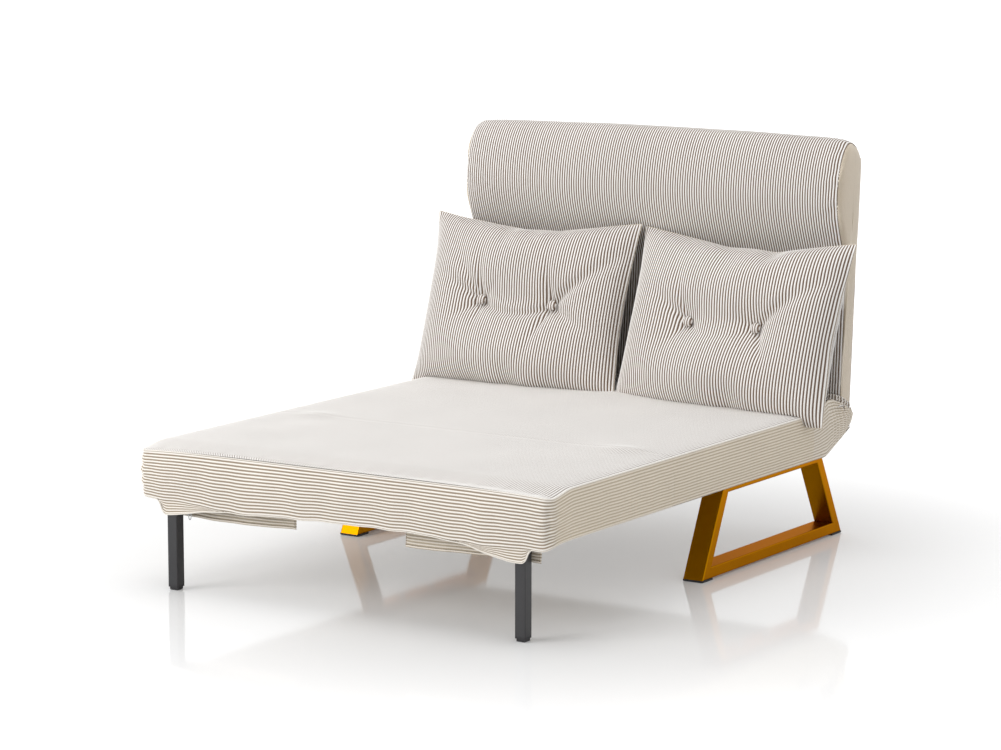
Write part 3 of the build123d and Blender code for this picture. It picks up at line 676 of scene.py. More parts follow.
def end_tree(tree, shape, material):
    """Close a geometry node group: plain mesh, smooth, with its material."""
    real = add(tree, "GeometryNodeRealizeInstances", {"Geometry": shape})
    smooth = add(tree, "GeometryNodeSetShadeSmooth", {"Geometry": real.outputs[0]})
    coated = {"Geometry": smooth.outputs[0], "Material": material}
    finish = add(tree, "GeometryNodeSetMaterial", coated)
    add(tree, "NodeGroupOutput", {"Geometry": finish.outputs[0]})


def cord_tree():
    """Round cord along each line."""
    tree, given = start_tree("cord", Radius="Float", Step="Float", Material="Material")
    even = spaced_line(tree, given, "Step")
    round_of = {"Resolution": 6, "Radius": given["Radius"]}
    ring = add(tree, "GeometryNodeCurvePrimitiveCircle", round_of)
    swept = {"Curve": even, "Profile Curve": ring.outputs[0], "Fill Caps": True}
    tube = add(tree, "GeometryNodeCurveToMesh", swept)
    end_tree(tree, tube.outputs[0], given["Material"])
    return tree


cord = cord_tree()


def follow(name, tree, lines, **values):
    """A piece that a geometry node group makes along lines of points, as a plain mesh."""
    mesh = bpy.data.meshes.new(name)
    points, edges = [], []
    for line in lines:
        start = len(points)
        points += np.asarray(line).tolist()
        edges += [(start + k, start + k + 1) for k in range(len(line) - 1)]
    mesh.from_pydata(points, edges, [])
    piece = bpy.data.objects.new(name, mesh)
    bpy.context.scene.collection.objects.link(piece)
    modifier = piece.modifiers.new(tree.name, "NODES")
    modifier.node_group = tree
    for socket in tree.interface.items_tree:
        if socket.in_out == "INPUT" and socket.name in values:
            modifier[socket.identifier] = values[socket.name]
    depsgraph = bpy.context.evaluated_depsgraph_get()
    made = bpy.data.meshes.new_from_object(piece.evaluated_get(depsgraph))
    piece.modifiers.clear()
    piece.data = made
    return piece


def seam_line(f_start, f_end, side):
    """Top seam along one side of the seat."""
    f = np.linspace(f_start, f_end, 80)
    z = seam_top + fullness(edge_x, f) + welt_out + 0.0003 * ripple(f, wave=0.05)
    return np.stack([np.full(len(f), side * (edge_x + welt_out)), f + front_y, z], 1)


welt_look = {"Radius": welt_radius, "Step": 0.006, "Material": binding}
seat_seams = [seam_line(seat_start, cheek_f, side) for side in (-1, 1)]
seat_welt = follow("seat_welt", cord, seat_seams, **welt_look)
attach(seat_welt, "seat")
top_seam = np.stack(
    [
        boxing[:, 0] * (1 + welt_out / edge_x),
        boxing[:, 1] - welt_out + front_y,
        seam_top + welt_out + fullness(boxing[:, 0], boxing[:, 1]),
    ],
    1,
)
hem_z = boxing_hem(np.arange(len(boxing))) - skin_gap
hem_z -= near(boxing[:, 1], reach=0.004) * cuff_height(boxing[:, 0])
front_hem = np.stack([boxing[:, 0], boxing[:, 1] + front_y, hem_z], 1)
front_welt = follow("front_welt", cord, [top_seam, front_hem], **welt_look)
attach(front_welt, "front_section")
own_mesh(front_welt)


# Front legs: 25 mm square steel tube, sprayed satin black, on stepped nylon feet.
# Each turns on a pin in its bracket and folds inwards into its pocket.
black_sockets = {"Roughness": 0.42, "Coat Weight": 0.1}
black_paint = fine_finish("satin_black_paint", "#201F22", "#1A191C", black_sockets)
dress(black_paint, "front_leg_left", "front_leg_right")
dress(moulded_black, "front_foot_left", "front_foot_right")


# Pocket flaps: a strip of corduroy hangs behind each front leg from the pocket's rear edge.
# Its free edges are turned and stitched, and it waves a little between them.
both_sides = ((-1, "left"), (1, "right"))
flap_wide, flap_long = flap_high.x - flap_low.x, flap_high.z - flap_low.z
cloth_thick, hem_turned, flap_wave = 0.0012, 0.002, 0.003
stitch_edge, stitch_low, stitch_high = 0.008, 0.9, 0.03
stitch_out = 0.0018


def stitch_tree():
    """Short thread bars spaced along each line."""
    tree, given = start_tree(
        "stitches", Pitch="Float", Length="Float", Radius="Float", Material="Material"
    )
    even = spaced_line(tree, given, "Pitch")
    round_of = {"Vertices": 6, "Radius": given["Radius"], "Depth": given["Length"]}
    bar = add(tree, "GeometryNodeMeshCylinder", round_of)
    way = add(tree, "GeometryNodeInputTangent")
    turn = add(tree, "FunctionNodeAlignRotationToVector", {"Vector": way.outputs[0]}, axis="Z")
    placed = {"Points": even, "Instance": bar.outputs["Mesh"], "Rotation": turn.outputs[0]}
    many = add(tree, "GeometryNodeInstanceOnPoints", placed)
    end_tree(tree, many.outputs[0], given["Material"])
    return tree


stitches = stitch_tree()
# Spun cotton thread: matt brown, a little uneven along its length
thread_brown = fine_finish("brown_cotton_thread", "#6E5B47", "#7C6853", {"Roughness": 0.85})


def flap_point(run, share, side):
    """A point of a flap, by its shares along and down it."""
    x = flap_low.x + flap_wide * run
    drop = (flap_long - hem_turned) * (1 + 0.05 * np.sin(5 * run + side)) * share
    wave = flap_wave * (ripple(x, wave=0.13, phase=1.0 + side) * share**0.7 - share)
    y = (flap_low.y + flap_high.y) / 2 + wave
    return np.stack(np.broadcast_arrays(side * x, y, flap_high.z - cover_slack - drop), -1)


for side, name in both_sides:
    run = np.linspace(0, 1, 48)
    grid = np.stack([flap_point(run, share, side) for share in np.linspace(0, 1, 9)])
    inside = (0, front_y + 0.3, 0.2)
    # Painted shade: the flaps hang under the front and are drawn in the tanner shaded tone
    flap = corduroy_piece(f"flap_{name}", [panel(grid, painted_shade=0.8)], inside, step=0.006)
    cloth = flap.modifiers.new("cloth", "SOLIDIFY")
    cloth.thickness = cloth_thick
    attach(flap, "front_section")
    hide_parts(f"pocket_flap_{name}")
    down = np.linspace(stitch_high, stitch_low, 20)
    along = np.linspace(stitch_edge, 1 - stitch_edge, 90)
    rounds = [
        flap_point(np.full(20, stitch_edge), down, side),
        flap_point(along, stitch_low, side),
        flap_point(np.full(20, 1 - stitch_edge), down[::-1], side),
    ]
    sewn = follow(
        f"flap_stitches_{name}",
        stitches,
        [line - (0, stitch_out, 0) for line in rounds],
        Pitch=0.004,
        Length=0.0026,
        Radius=0.0004,
        Material=thread_brown,
    )
    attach(sewn, "front_section")


# Leg pocket zips: a woven tape with coil teeth along its lower edge is sewn behind each leg.
# The slider is die-cast zinc with a pull ring, and runs along the coil.
zip_weave = fine_finish("woven_zip_tape", "#D9CFC0", "#CBBFAE", {"Roughness": 0.85})
# Extruded nylon coil: pale, with a dull shine
coil_nylon = fine_finish("nylon_zip_coil", "#CFC8BC", "#DAD3C8", {"Roughness": 0.45})
dress(zinc_plate, "zip_slider_left", "zip_slider_right")
tape_low, tape_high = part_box("zip_tapes")
coil_out, coil_up = 0.0002, 0.0012
pull_wide, pull_long, pull_hang, pull_out = 0.0036, 0.0165, 0.011, 0.0012
for side, name in both_sides:
    x = np.linspace(*pocket_x, 40) * side
    ring = [
        (tape_low.y, tape_low.z),
        (tape_high.y, tape_low.z),
        (tape_high.y, tape_high.z),
        (tape_low.y, tape_high.z),
    ]
    points = np.array([(a, y, z) for a in x for y, z in ring])
    number = np.arange(len(points)).reshape(-1, 4)
    walls = grid_faces(np.column_stack([number, number[:, 0]]))
    quads = np.concatenate([walls, [number[0], number[-1][::-1]]])
    tape = make_piece(f"zip_tape_{name}", points, quads if side > 0 else quads[:, ::-1], zip_weave)
    tape.data.polygons.foreach_set("use_smooth", np.zeros(len(tape.data.polygons), bool))
    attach(tape, "front_section")
    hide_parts("zip_tapes")
    flat = np.ones_like(x)
    teeth_line = np.stack([x, flat * (tape_low.y - coil_out), flat * (tape_low.z + coil_up)], 1)
    teeth = follow(
        f"zip_teeth_{name}",
        stitches,
        [teeth_line],
        Pitch=0.0024,
        Length=0.0016,
        Radius=0.0008,
        Material=coil_nylon,
    )
    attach(teeth, "front_section")
    slider_low, slider_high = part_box(f"zip_slider_{name}")
    turns = np.linspace(0, 2 * np.pi, 33)
    pull_x = (slider_low.x + slider_high.x) / 2 + pull_wide * np.sin(turns)
    oblong = np.sign(np.cos(turns)) * np.abs(np.cos(turns)) ** 0.6
    pull_z = slider_low.z - pull_hang + pull_long * oblong
    pull_line = np.stack([pull_x, np.full(len(turns), slider_low.y - pull_out), pull_z], 1)
    pull = follow(
        f"zip_pull_{name}", cord, [pull_line], Radius=0.0009, Step=0.0015, Material=zinc_plate
    )
    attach(pull, f"zip_slider_{name}")


# Backrest: tube frame with webbing, a foam slab and a head bolster in one sewn corduroy sleeve.
# Its front panel runs over the top and down the rear; an eye-shaped gusset closes each side.
# In this section t is the distance out from the slab's middle and s the distance up from the pivot.
dress(powder_black, "back_frame", "recline_arms", "recline_pawls")
# Woven polypropylene webbing: matt charcoal
webbing = fine_finish("woven_webbing", "#3A3836", "#45423F", {"Roughness": 0.9})
dress(webbing, "back_straps")
back_half = 0.503
slab = 0.0278
foot_depth, foot_points = 0.0155, 9
back_lean = math.radians(4)
bolster_low, bolster_full, bolster_proud, back_top = 0.335, 0.515, 0.067, 0.6415
crest_t = -bolster_proud / 2
crest_reach = slab + bolster_proud / 2
shoulder = (bolster_full + back_top) / 2
swell_low, swell_full, dome_full = 0.30, 0.5, 0.45
top_crown = 0.007


def arc(middle_t, middle_s, reach, height, start, end, count):
    """Points on part of an ellipse, by its middle, half sizes and angles in degrees."""
    turns = np.radians(np.linspace(start, end, count))
    return [(middle_t + reach * math.cos(a), middle_s + height * math.sin(a)) for a in turns]


def back_profile():
    """Closed side outline of the sleeve, as t and s."""
    line = arc(0, 0, slab, foot_depth, 270, 180, foot_points)
    line += [(-slab, s) for s in np.linspace(0, bolster_low, 40)[1:]]
    for u in np.linspace(0, 1, 22)[1:]:
        s = bolster_low + (bolster_full - bolster_low) * u
        line.append((-slab - bolster_proud * math.sin(math.pi * u / 2) ** 1.25, s))
    line += arc(crest_t, bolster_full, crest_reach, back_top - bolster_full, 180, 90, 18)[1:]
    line += arc(crest_t, shoulder, crest_reach, back_top - shoulder, 90, 0, 14)[1:]
    line += [(slab, s) for s in np.linspace(shoulder, 0, 60)[1:]]
    line += arc(0, 0, slab, foot_depth, 0, -90, foot_points)[1:]
    return np.array(line)


def even_line(line, count):
    """The same line with its points spaced evenly."""
    run = run_along(line)
    at = np.linspace(0, run[-1], count)
    return np.stack([np.interp(at, run, line[:, k]) for k in range(line.shape[1])], 1)


def lean_back(x, t, s):
    """Points of the backrest in the frame of the whole part."""
    y = front_y + pivot_f + t * math.cos(back_lean) + s * math.sin(back_lean)
    return x, y, pivot_z - t * math.sin(back_lean) + s * math.cos(back_lean)


profile = even_line(back_profile(), 181)
profile_run = run_along(profile)
profile_out = np.stack(np.gradient(profile, axis=0).T[::-1], 1) * (-1, 1)
profile_out /= np.linalg.norm(profile_out, axis=1, keepdims=True)


def sleeve_swell(x, k):
    """How far the sleeve stands out from its outline: drawn in and puckered along the gussets."""
    drawn_deep, drawn_reach, uneven_high = 0.0045, 0.008, 0.0010
    pleat_low, pleat_more = 0.0008, 0.0022
    side = back_half - np.abs(x)
    high = ramp(profile[k, 1], swell_low, swell_full)
    drawn = drawn_deep * (1 + high) * near(side, drawn_reach * (1 + high))
    pleat = ripple(profile_run[k] + 0.5 * side, wave=0.05, phase=np.sign(x))
    pleat = pleat * near(side, reach=0.035) * (1 - near(side, reach=0.004))
    uneven = ripple(x, wave=0.33, phase=0.4) * ripple(profile_run[k], wave=0.5, phase=1.0)
    return (pleat_low + pleat_more * high) * pleat - drawn + uneven_high * uneven


def back_sleeve():
    """Front, top and rear of the sleeve in one panel, its top a little crowned."""

    def place(share, k):
        x = share * back_half
        t, s = np.moveaxis(profile[k] + profile_out[k] * sleeve_swell(x, k)[..., None], -1, 0)
        high = ramp(profile[k, 1], bolster_low, back_top)
        crown_up = top_crown * (1 - share**2) * high**2
        return lean_back(x, t, s + crown_up)

    return grid_of(place, np.linspace(-1, 1, 181), np.arange(len(profile)))


def back_gusset(side):
    """Side panel with upright wales, drawn between the front seam and the rear seam."""
    dome_low, dome_more, sunk, foot_in = 0.003, 0.008, 0.0015, 0.004
    every = np.arange(len(profile))
    swell = sleeve_swell(np.full(len(profile), side * back_half), every)
    edge = profile + profile_out * swell[:, None]
    top = int(np.argmax(edge[:, 1]))
    full = int(np.argmin(edge[: top + 1, 0]))
    rear_end = top + int(np.argmax(edge[top:, 0]))
    foot = int(np.argmin(np.abs(edge[:top, 1])))
    columns = np.linspace(edge[full, 0] + skin_gap, edge[rear_end, 0] - skin_gap, 44)
    high = np.interp(columns, edge[full : rear_end + 1, 0], edge[full : rear_end + 1, 1])
    low = np.interp(-columns, -edge[foot : full + 1, 0], edge[foot : full + 1, 1])
    inside = columns > edge[foot, 0]
    foot_round = np.clip(1 - (columns[inside] / (slab - foot_in)) ** 2, 0, None)
    low[inside] = -foot_depth * np.sqrt(foot_round)

    def place(i, share):
        t, s = columns[i], low[i] + (high[i] - low[i]) * share
        gap_up = np.minimum(s - low[i], high[i] - s)
        gap_across = np.minimum(columns[-1] - t, t - columns[0])
        dome = dome_low + dome_more * ramp(s, swell_low, dome_full)
        swell = dome * (1 - near(np.minimum(gap_up, gap_across), reach=0.012)) - sunk
        return lean_back(side * (back_half + swell), t, s)

    return grid_of(place, np.arange(len(columns)), np.linspace(0, 1, 90))


# Painted shade: the side gussets are drawn in the tanner shaded tone
back_cushion = corduroy_piece(
    "back_cushion",
    [panel(back_sleeve()), *(panel(back_gusset(side), painted_shade=1.0) for side in (-1, 1))],
    lean_back(0, -0.02, 0.33),
)
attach(back_cushion, "backrest")
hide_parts("back_pad", "head_bolster", "back_cover")
foot_skip, seam_in = 8, 0.0002
seam_points = np.arange(foot_skip, len(profile) - foot_skip)
seams = []
for side in (-1, 1):
    out = sleeve_swell(side * back_half, seam_points) + skin_gap
    t, s = (profile[seam_points] + profile_out[seam_points] * out[:, None]).T
    seams.append(np.stack(lean_back(np.full(len(t), side * (back_half - seam_in)), t, s), 1))
# Painted shade: a thin dark brown cord along each side seam stands in for the shade in the recessed
# seam
back_seam_shade = follow("back_seam_shade", cord, seams, Radius=0.0007, Step=0.006, Material=thread_brown)
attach(back_seam_shade, "backrest")


# Gathers at the foot of the backrest: the seat cover runs up over the joint, ruched on elastic.
# Its lower edge lies on the seat and its upper edge runs up to the elastic, in one piece that is
# attached to neither body.
rear_f = pivot_f + 0.0300
# Distances behind the pivot, and the height of the elastic there
elastic_f = [-0.185, -0.160, -0.135, -0.115, -0.076, -0.036, -0.010, 0.006, 0.021, 0.0315]
elastic_z = [seam_top + side_lift, 0.3160, 0.3280, 0.3370, 0.3325]
elastic_z += [0.3210, 0.3130, 0.3060, 0.3010, 0.2985]
# Distances behind the pivot, and how far the lower edge turns up there
turn_f = [0, 0.007, 0.014, 0.021, 0.0275, 0.0315]
turn_up = [0, 0.001, 0.003, 0.006, 0.011, 0.016]
pleat_deep, pleat_pitch = 0.0055, 0.0165
gusset_gap = 0.0018


def gather_line(f):
    """Height of the elastic, which runs down towards the rear."""
    return np.interp(f - pivot_f, elastic_f, elastic_z)


def gathered_cheek(side):
    """Side of the gathers, from the seat's boxing up to the elastic."""
    start_f, end_f = pivot_f - 0.115, pivot_f + 0.0315
    belly_more, elastic_draw, rear_draw, rear_out = 0.004, 0.0125, 0.0175, 0.007

    def place(share, f):
        low = chamfer_height(f) + seam_low - under_z + np.interp(f - pivot_f, turn_f, turn_up)
        along = ramp(f, start_f, end_f)
        grown = np.clip(along * 2.5, 0, 1)
        bulge = (belly_more * along + boxing_wave * ripple(f, wave=0.13, phase=side)) * (1 - along)
        x = edge_x + (boxing_belly + bulge) * np.sin(np.pi * share)
        # Drawn in to the elastic, and to the rear
        x -= elastic_draw * ramp(share, 0.5, 1) ** 1.6 * grown
        x -= rear_draw * ramp(along, 0.45, 1) ** 2
        pleat = np.sin(2 * np.pi * (f + 0.014 * share**2) / pleat_pitch + 0.8 * np.sin(f / 0.013))
        deep = (0.15 + 0.85 * share**1.2) * (1 - 0.4 * share**6) * np.clip((1 - along) / 0.2, 0, 1)
        x += pleat_deep * pleat * grown * deep
        x = np.maximum(x, back_half + gusset_gap)
        rear = rear_out * np.sin(np.pi * (0.3 + 0.7 * share)) * ramp(along, 0.7, 1) ** 2
        return side * x, f + rear + front_y, low + (gather_line(f) - low) * share

    return grid_of(place, np.linspace(0, 1, 33), np.linspace(cheek_f, rear_f, 121))


def gathered_return(side):
    """Rear end of the gathers, turned in behind the foot of the backrest."""
    edge = gathered_cheek(side)[:, -1]
    turned_in, drawn_forward = 0.034, 0.003
    inwards = np.array((-side * turned_in, -drawn_forward, 0))
    return edge[:, None] + np.linspace(0, 1, 7)[None, :, None] * inwards


def gathered_apron():
    """Front of the gathers, from the seat's top up to the elastic, reaching forward at its ends."""
    end_from, end_to, end_narrow = 0.40, 0.5195, 0.024
    sunk, pleat_high, pleat_wide = 0.001, 0.0016, 0.014

    def place(x, share):
        out = ramp(np.abs(x), end_from, end_to) ** 2
        start = pivot_f - 0.058 - 0.127 * out
        end = pivot_f - 0.034 - 0.008 * out
        f = start + (end - start) * share
        low = top_height(x, start) - sunk
        straight = low + (gather_line(end) - low) * share**1.25
        z = straight + (gather_line(f) - straight) * out
        pleat = np.sin(2 * np.pi * x / pleat_wide + 1.2 * np.sin(9 * x)) * np.sin(np.pi * share)
        return x * (1 - end_narrow * share * out), f - pleat_high * pleat + front_y, z

    return grid_of(place, np.linspace(-edge_x, edge_x, 521), np.linspace(0, 1, 15))


# Painted shade: the gathers' sides are drawn in the tanner shaded tone with fainter grooves
cheek_look = {"wales": side_wales, "painted_shade": 0.8, "depth": 0.8}
gathers = corduroy_piece(
    "joint_gathers",
    [
        *(panel(gathered_cheek(side), cut=(False, False), **cheek_look) for side in (-1, 1)),
        *(panel(gathered_return(side), cut=(False, True), **cheek_look) for side in (-1, 1)),
        panel(gathered_apron()),
    ],
    (0, front_y + pivot_f + 0.01, pivot_z),
    step=0.0024,
)
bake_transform(gathers)


def elastic_band():
    """Ruched band round the foot of the backrest: both sides and the front."""
    band_x, band_f, turn_radius = back_half + 0.0015, pivot_f - 0.033, 0.018
    middle_x, middle_f = band_x - turn_radius, band_f + turn_radius
    low_edge, tall, rear_tall, set_forward = 0.004, 0.021, 0.014, 0.005
    puff_out, roll_out, ruche_out, ruche_pitch = 0.0022, 0.0028, 0.0016, 0.0125
    side_part = [(band_x, f) for f in np.linspace(rear_f - 0.010, middle_f, 14)[:-1]]
    corner = arc(middle_x, middle_f, turn_radius, turn_radius, 0, -90, 10)
    front_part = [(x, band_f) for x in np.linspace(corner[-1][0], 0, 120)[1:]]
    line = even_line(mirrored(np.array(side_part + corner + front_part)), 700)
    way = np.gradient(line, axis=0)
    out = np.stack([-way[:, 1], way[:, 0]], 1)
    out *= np.sign(np.sum(out * (line - (0, pivot_f)), 1))[:, None]
    out /= np.linalg.norm(out, axis=1, keepdims=True)
    run = run_along(line)

    def place(k, share):
        f = line[k, 1]
        ruche = np.sin(2 * np.pi * run[k] / ruche_pitch + 0.8 * np.sin(60 * run[k]))
        puff = (puff_out + ruche_out * ruche) * np.sin(np.pi * share)
        puff += roll_out * np.sin(3 * np.pi * share) ** 2
        back = ramp(f, pivot_f - 0.03, pivot_f + 0.03)
        z = gather_line(f) - low_edge + (tall + (rear_tall - tall) * back) * share
        lean = (z - pivot_z) * math.tan(back_lean)
        y = f + out[k, 1] * puff + front_y + lean - set_forward
        return line[k, 0] + out[k, 0] * puff, y, z

    return grid_of(place, np.arange(len(line)), np.linspace(0, 1, 13))


# A little painted shade: the band takes a touch of the tanner shaded tone
band_panel = panel(elastic_band(), painted_shade=0.2)
band = corduroy_piece("elastic_band", [band_panel], (0, front_y + pivot_f, 0.36), step=0.0024)
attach(band, "backrest")


# Loose pillows: two corduroy panels sewn round a fibre filling, with two buttons sewn through.
# The sewn outline pulls in between pointed corners, and the cloth creases towards the buttons.
# Cloth simulation fills them; the result is smoothed, and the creases are pressed in afterwards.
pillow_sizes = {"left": (0.560, 0.420), "right": (0.592, 0.425)}
pillow_half = 0.078
pillow_wales = {"left": 84, "right": 82}
pillow_spots = {"left": ((-0.284, 0.486, 0.503), 2.0), "right": ((0.283, 0.482, 0.494), -6.0)}
pillow_lean = math.radians(18)
pillow_cells, pillow_fine = (57, 43), (141, 107)
pillow_seed = 11
tuft_half = 0.192 / 2
tuft_hold, button_out = 0.011, 0.0075
fill_steps, ease_passes = 26, 10
fill_settings = {
    "quality": 6,
    "mass": 0.3,
    "tension_stiffness": 20,
    "compression_stiffness": 10,
    "shear_stiffness": 8,
    "bending_stiffness": 1.0,
    "use_pressure": True,
    "uniform_pressure_force": 3.0,
    "vertex_group_mass": "held",
}
rim_edges = (np.s_[0, :], np.s_[-1, :], np.s_[:, 0], np.s_[:, -1])


def sewn_panels(seed, wide, tall):
    """The two panels before they are filled, with a shared seam: points and panels of numbers."""
    side_pull, top_pull, lens_half, roughness = 0.03, 0.05, 0.066, 0.0005
    u, v = np.meshgrid(*(np.linspace(-1, 1, count) for count in pillow_cells), indexing="ij")
    x = u * wide / 2 * (1 - side_pull * (1 - v**2))
    z = v * tall / 2 * (1 - top_pull * (1 - u**2))
    lens = lens_half * np.sqrt(np.clip((1 - u**2) * (1 - v**2), 0, 1)) ** 0.8
    uneven = np.random.default_rng(seed).normal(0, roughness, (2, *u.shape))
    uneven[:, [0, -1], :] = 0
    uneven[:, :, [0, -1]] = 0
    front = np.stack([x, uneven[0] - lens, z], -1)
    rear = np.stack([x, uneven[1] + lens, z], -1)
    first = np.arange(u.size).reshape(u.shape)
    second = first + u.size
    for edge in rim_edges:
        second[edge] = first[edge]
    both = np.concatenate([first.ravel(), second.ravel()])
    used, number = np.unique(both, return_inverse=True)
    points = np.concatenate([front.reshape(-1, 3), rear.reshape(-1, 3)])[used]
    return points, number[: u.size].reshape(u.shape), number[u.size :].reshape(u.shape)


def fill(points, faces):
    """The points after cloth simulation blows the panels up, with the buttons' spots held."""
    cloth = make_piece("pillow_cloth", points, faces, corduroy)
    away = np.hypot(np.abs(points[:, 0]) - tuft_half, points[:, 2])
    held = cloth.vertex_groups.new(name="held")
    held.add(np.nonzero(away < tuft_hold)[0].tolist(), 1.0, "REPLACE")
    modifier = cloth.modifiers.new("Cloth", "CLOTH")
    for key, value in fill_settings.items():
        setattr(modifier.settings, key, value)
    modifier.settings.effector_weights.gravity = 0
    modifier.point_cache.frame_start = 1
    modifier.point_cache.frame_end = fill_steps
    for step in range(1, fill_steps + 1):
        bpy.context.scene.frame_set(step)
    solved = cloth.evaluated_get(bpy.context.evaluated_depsgraph_get()).data
    settled = np.empty(len(points) * 3, np.float32)
    solved.vertices.foreach_get("co", settled)
    bpy.data.objects.remove(cloth)
    bpy.context.scene.frame_set(1)
    return settled.reshape(-1, 3).astype(float)


def eased(grid):
    """The same panel with its small wrinkles smoothed away and its corners kept."""
    for _ in range(ease_passes):
        smooth = grid.copy()
        around = grid[2:, 1:-1] + grid[:-2, 1:-1] + grid[1:-1, 2:] + grid[1:-1, :-2]
        smooth[1:-1, 1:-1] = 0.5 * grid[1:-1, 1:-1] + 0.125 * around
        for edge in rim_edges:
            line = grid[edge]
            smooth[edge][1:-1] = 0.5 * line[1:-1] + 0.25 * (line[2:] + line[:-2])
        grid = smooth
    return grid


back_front = profile[foot_skip : int(np.argmin(profile[:, 0])) + 1]
_, back_front_y, back_front_z = lean_back(0, back_front[:, 0], back_front[:, 1])


def stand_pillow(points, name):
    """Stand a pillow where its solid is: leaning back, resting on the seat and the backrest."""
    seat_give, back_give = 0.88, 0.9
    rest_up, edge_over, edge_fade, back_clear = 0.0150, 0.006, 0.02, 0.003
    spot, turn = pillow_spots[name]
    way = Matrix.Rotation(math.radians(turn), 3, "Z") @ Matrix.Rotation(-pillow_lean, 3, "X")
    placed = points @ np.array(way).T + np.array(spot)
    on_seat = np.clip((edge_x + edge_over - np.abs(placed[..., 0])) / edge_fade, 0, 1)
    pressed = seat_give * np.clip(top_z + rest_up - placed[..., 2], 0, None) * on_seat
    behind = np.interp(placed[..., 2], back_front_z, back_front_y) - back_clear
    pushed = back_give * np.clip(placed[..., 1] - behind, 0, None)
    return placed + np.stack([0 * pressed, -pushed, pressed], -1)


# Creases from the buttons: which button, direction in degrees, length and depth in metres
pillow_creases = {
    "left": [
        (-1, 97, 0.085, 0.012),
        (-1, 128, 0.160, 0.008),
        (-1, 156, 0.100, 0.010),
        (-1, 214, 0.060, 0.010),
        (-1, 270, 0.050, 0.006),
        (-1, 42, 0.050, 0.006),
        (1, 101, 0.080, 0.012),
        (1, 35, 0.260, 0.012),
        (1, -28, 0.110, 0.010),
        (1, 248, 0.085, 0.010),
    ],
    "right": [
        (-1, 150, 0.090, 0.009),
        (-1, 112, 0.120, 0.006),
        (-1, 235, 0.050, 0.006),
        (-1, -30, 0.050, 0.006),
        (1, 38, 0.240, 0.009),
        (1, -56, 0.080, 0.010),
        (1, 165, 0.060, 0.004),
    ],
}
# Depth of the sagging crease from button to button
pillow_smile = {"left": 0.0096, "right": 0.0024}


def crease_depth(x, z, name):
    """How deep the creases and the dimples of the buttons are pressed in at a point of a panel."""
    crease_wide, crease_spread, crease_bend, crease_fade = 0.007, 0.075, 0.25, 0.016
    smile_sag, smile_wide, smile_fade = 0.022, 0.008, 0.01
    deep = np.zeros_like(x)
    for button, degrees, length, depth in pillow_creases[name]:
        way_x, way_z = math.cos(math.radians(degrees)), math.sin(math.radians(degrees))
        from_x = x - button * tuft_half
        run = np.clip(from_x * way_x + z * way_z, 0, None)
        away = -from_x * way_z + z * way_x + crease_bend * run**2 * math.sin(3 * degrees)
        fold = bell(away, 0, crease_wide + crease_spread * run) * bell(run, 0, length)
        deep = np.maximum(deep, depth * fold * np.clip(run / crease_fade, 0, 1))
    away = np.hypot(np.abs(x) - tuft_half, z)
    dimple = 0.013 * bell(away, 0, width=0.040) + 0.005 * bell(away, 0, width=0.019)
    sag = -smile_sag * np.clip(1 - (x / tuft_half) ** 2, 0, 1)
    between = np.clip((tuft_half - np.abs(x)) / smile_fade, 0, 1)
    return deep + dimple + pillow_smile[name] * bell(z, sag, smile_wide) * between


def slumped(grid, facing, name):
    """A filled panel with a heavier foot, a straightened lower edge and its creases pressed in."""
    top_give, foot_drop, foot_heavier, rim_steep = 0.35, 0.006, 0.28, 7
    wide, tall = pillow_sizes[name]
    x, y, z = np.moveaxis(grid, 2, 0)
    up = np.linspace(0, 1, z.shape[1])
    low_tips, top_tips = (np.linspace(z[0, end], z[-1, end], len(z)) for end in (0, -1))
    foot_sag = foot_drop * np.sin(np.pi * np.linspace(0, 1, len(z)))
    settled = z + top_give * (top_tips - z[:, -1])[:, None] * up**2
    settled -= (z[:, 0] - low_tips + foot_sag)[:, None] * (1 - up) ** 2
    rim = 1 - 2 * np.maximum(np.abs(x) / wide, np.abs(z) / tall)
    crease = crease_depth(x, z, name) * np.clip(rim * rim_steep, 0, 1)
    y = y * (1 - foot_heavier * z / tall) - facing * crease
    return stand_pillow(np.stack([x, y, settled], -1), name)


def covered_buttons(name, spots):
    """Cloth-covered buttons: shallow domes with a rolled rim, and wales across them."""
    button_radius, button_high, button_wale = 0.0125, 0.0080, 0.0008
    bow = np.linspace(0.02, 1, 8) * math.pi * 0.58
    turn = np.linspace(0, 2 * np.pi, 29)
    wide = button_radius * np.sin(bow)[:, None] * np.cos(turn)
    tall = button_radius * np.sin(bow)[:, None] * np.sin(turn)
    level = 0.5 + 0.5 * np.cos(2 * np.pi * wide / wale_pitch)
    height = button_high * np.cos(bow)[:, None] + button_wale * level
    number = np.arange(wide.size).reshape(wide.shape)
    points, faces = [], []
    for k, (spot, facing, across) in enumerate(spots):
        up = np.cross(facing, across)
        dome = spot + wide[..., None] * across + tall[..., None] * up + height[..., None] * facing
        points.append(dome.reshape(-1, 3))
        faces.append(grid_faces(number + k * number.size))
    # The wales' grooves are drawn darker, partly as painted shade
    fields = {"wale": np.tile(level.ravel(), len(spots))}
    return make_piece(name, np.concatenate(points), np.concatenate(faces), corduroy, fields)


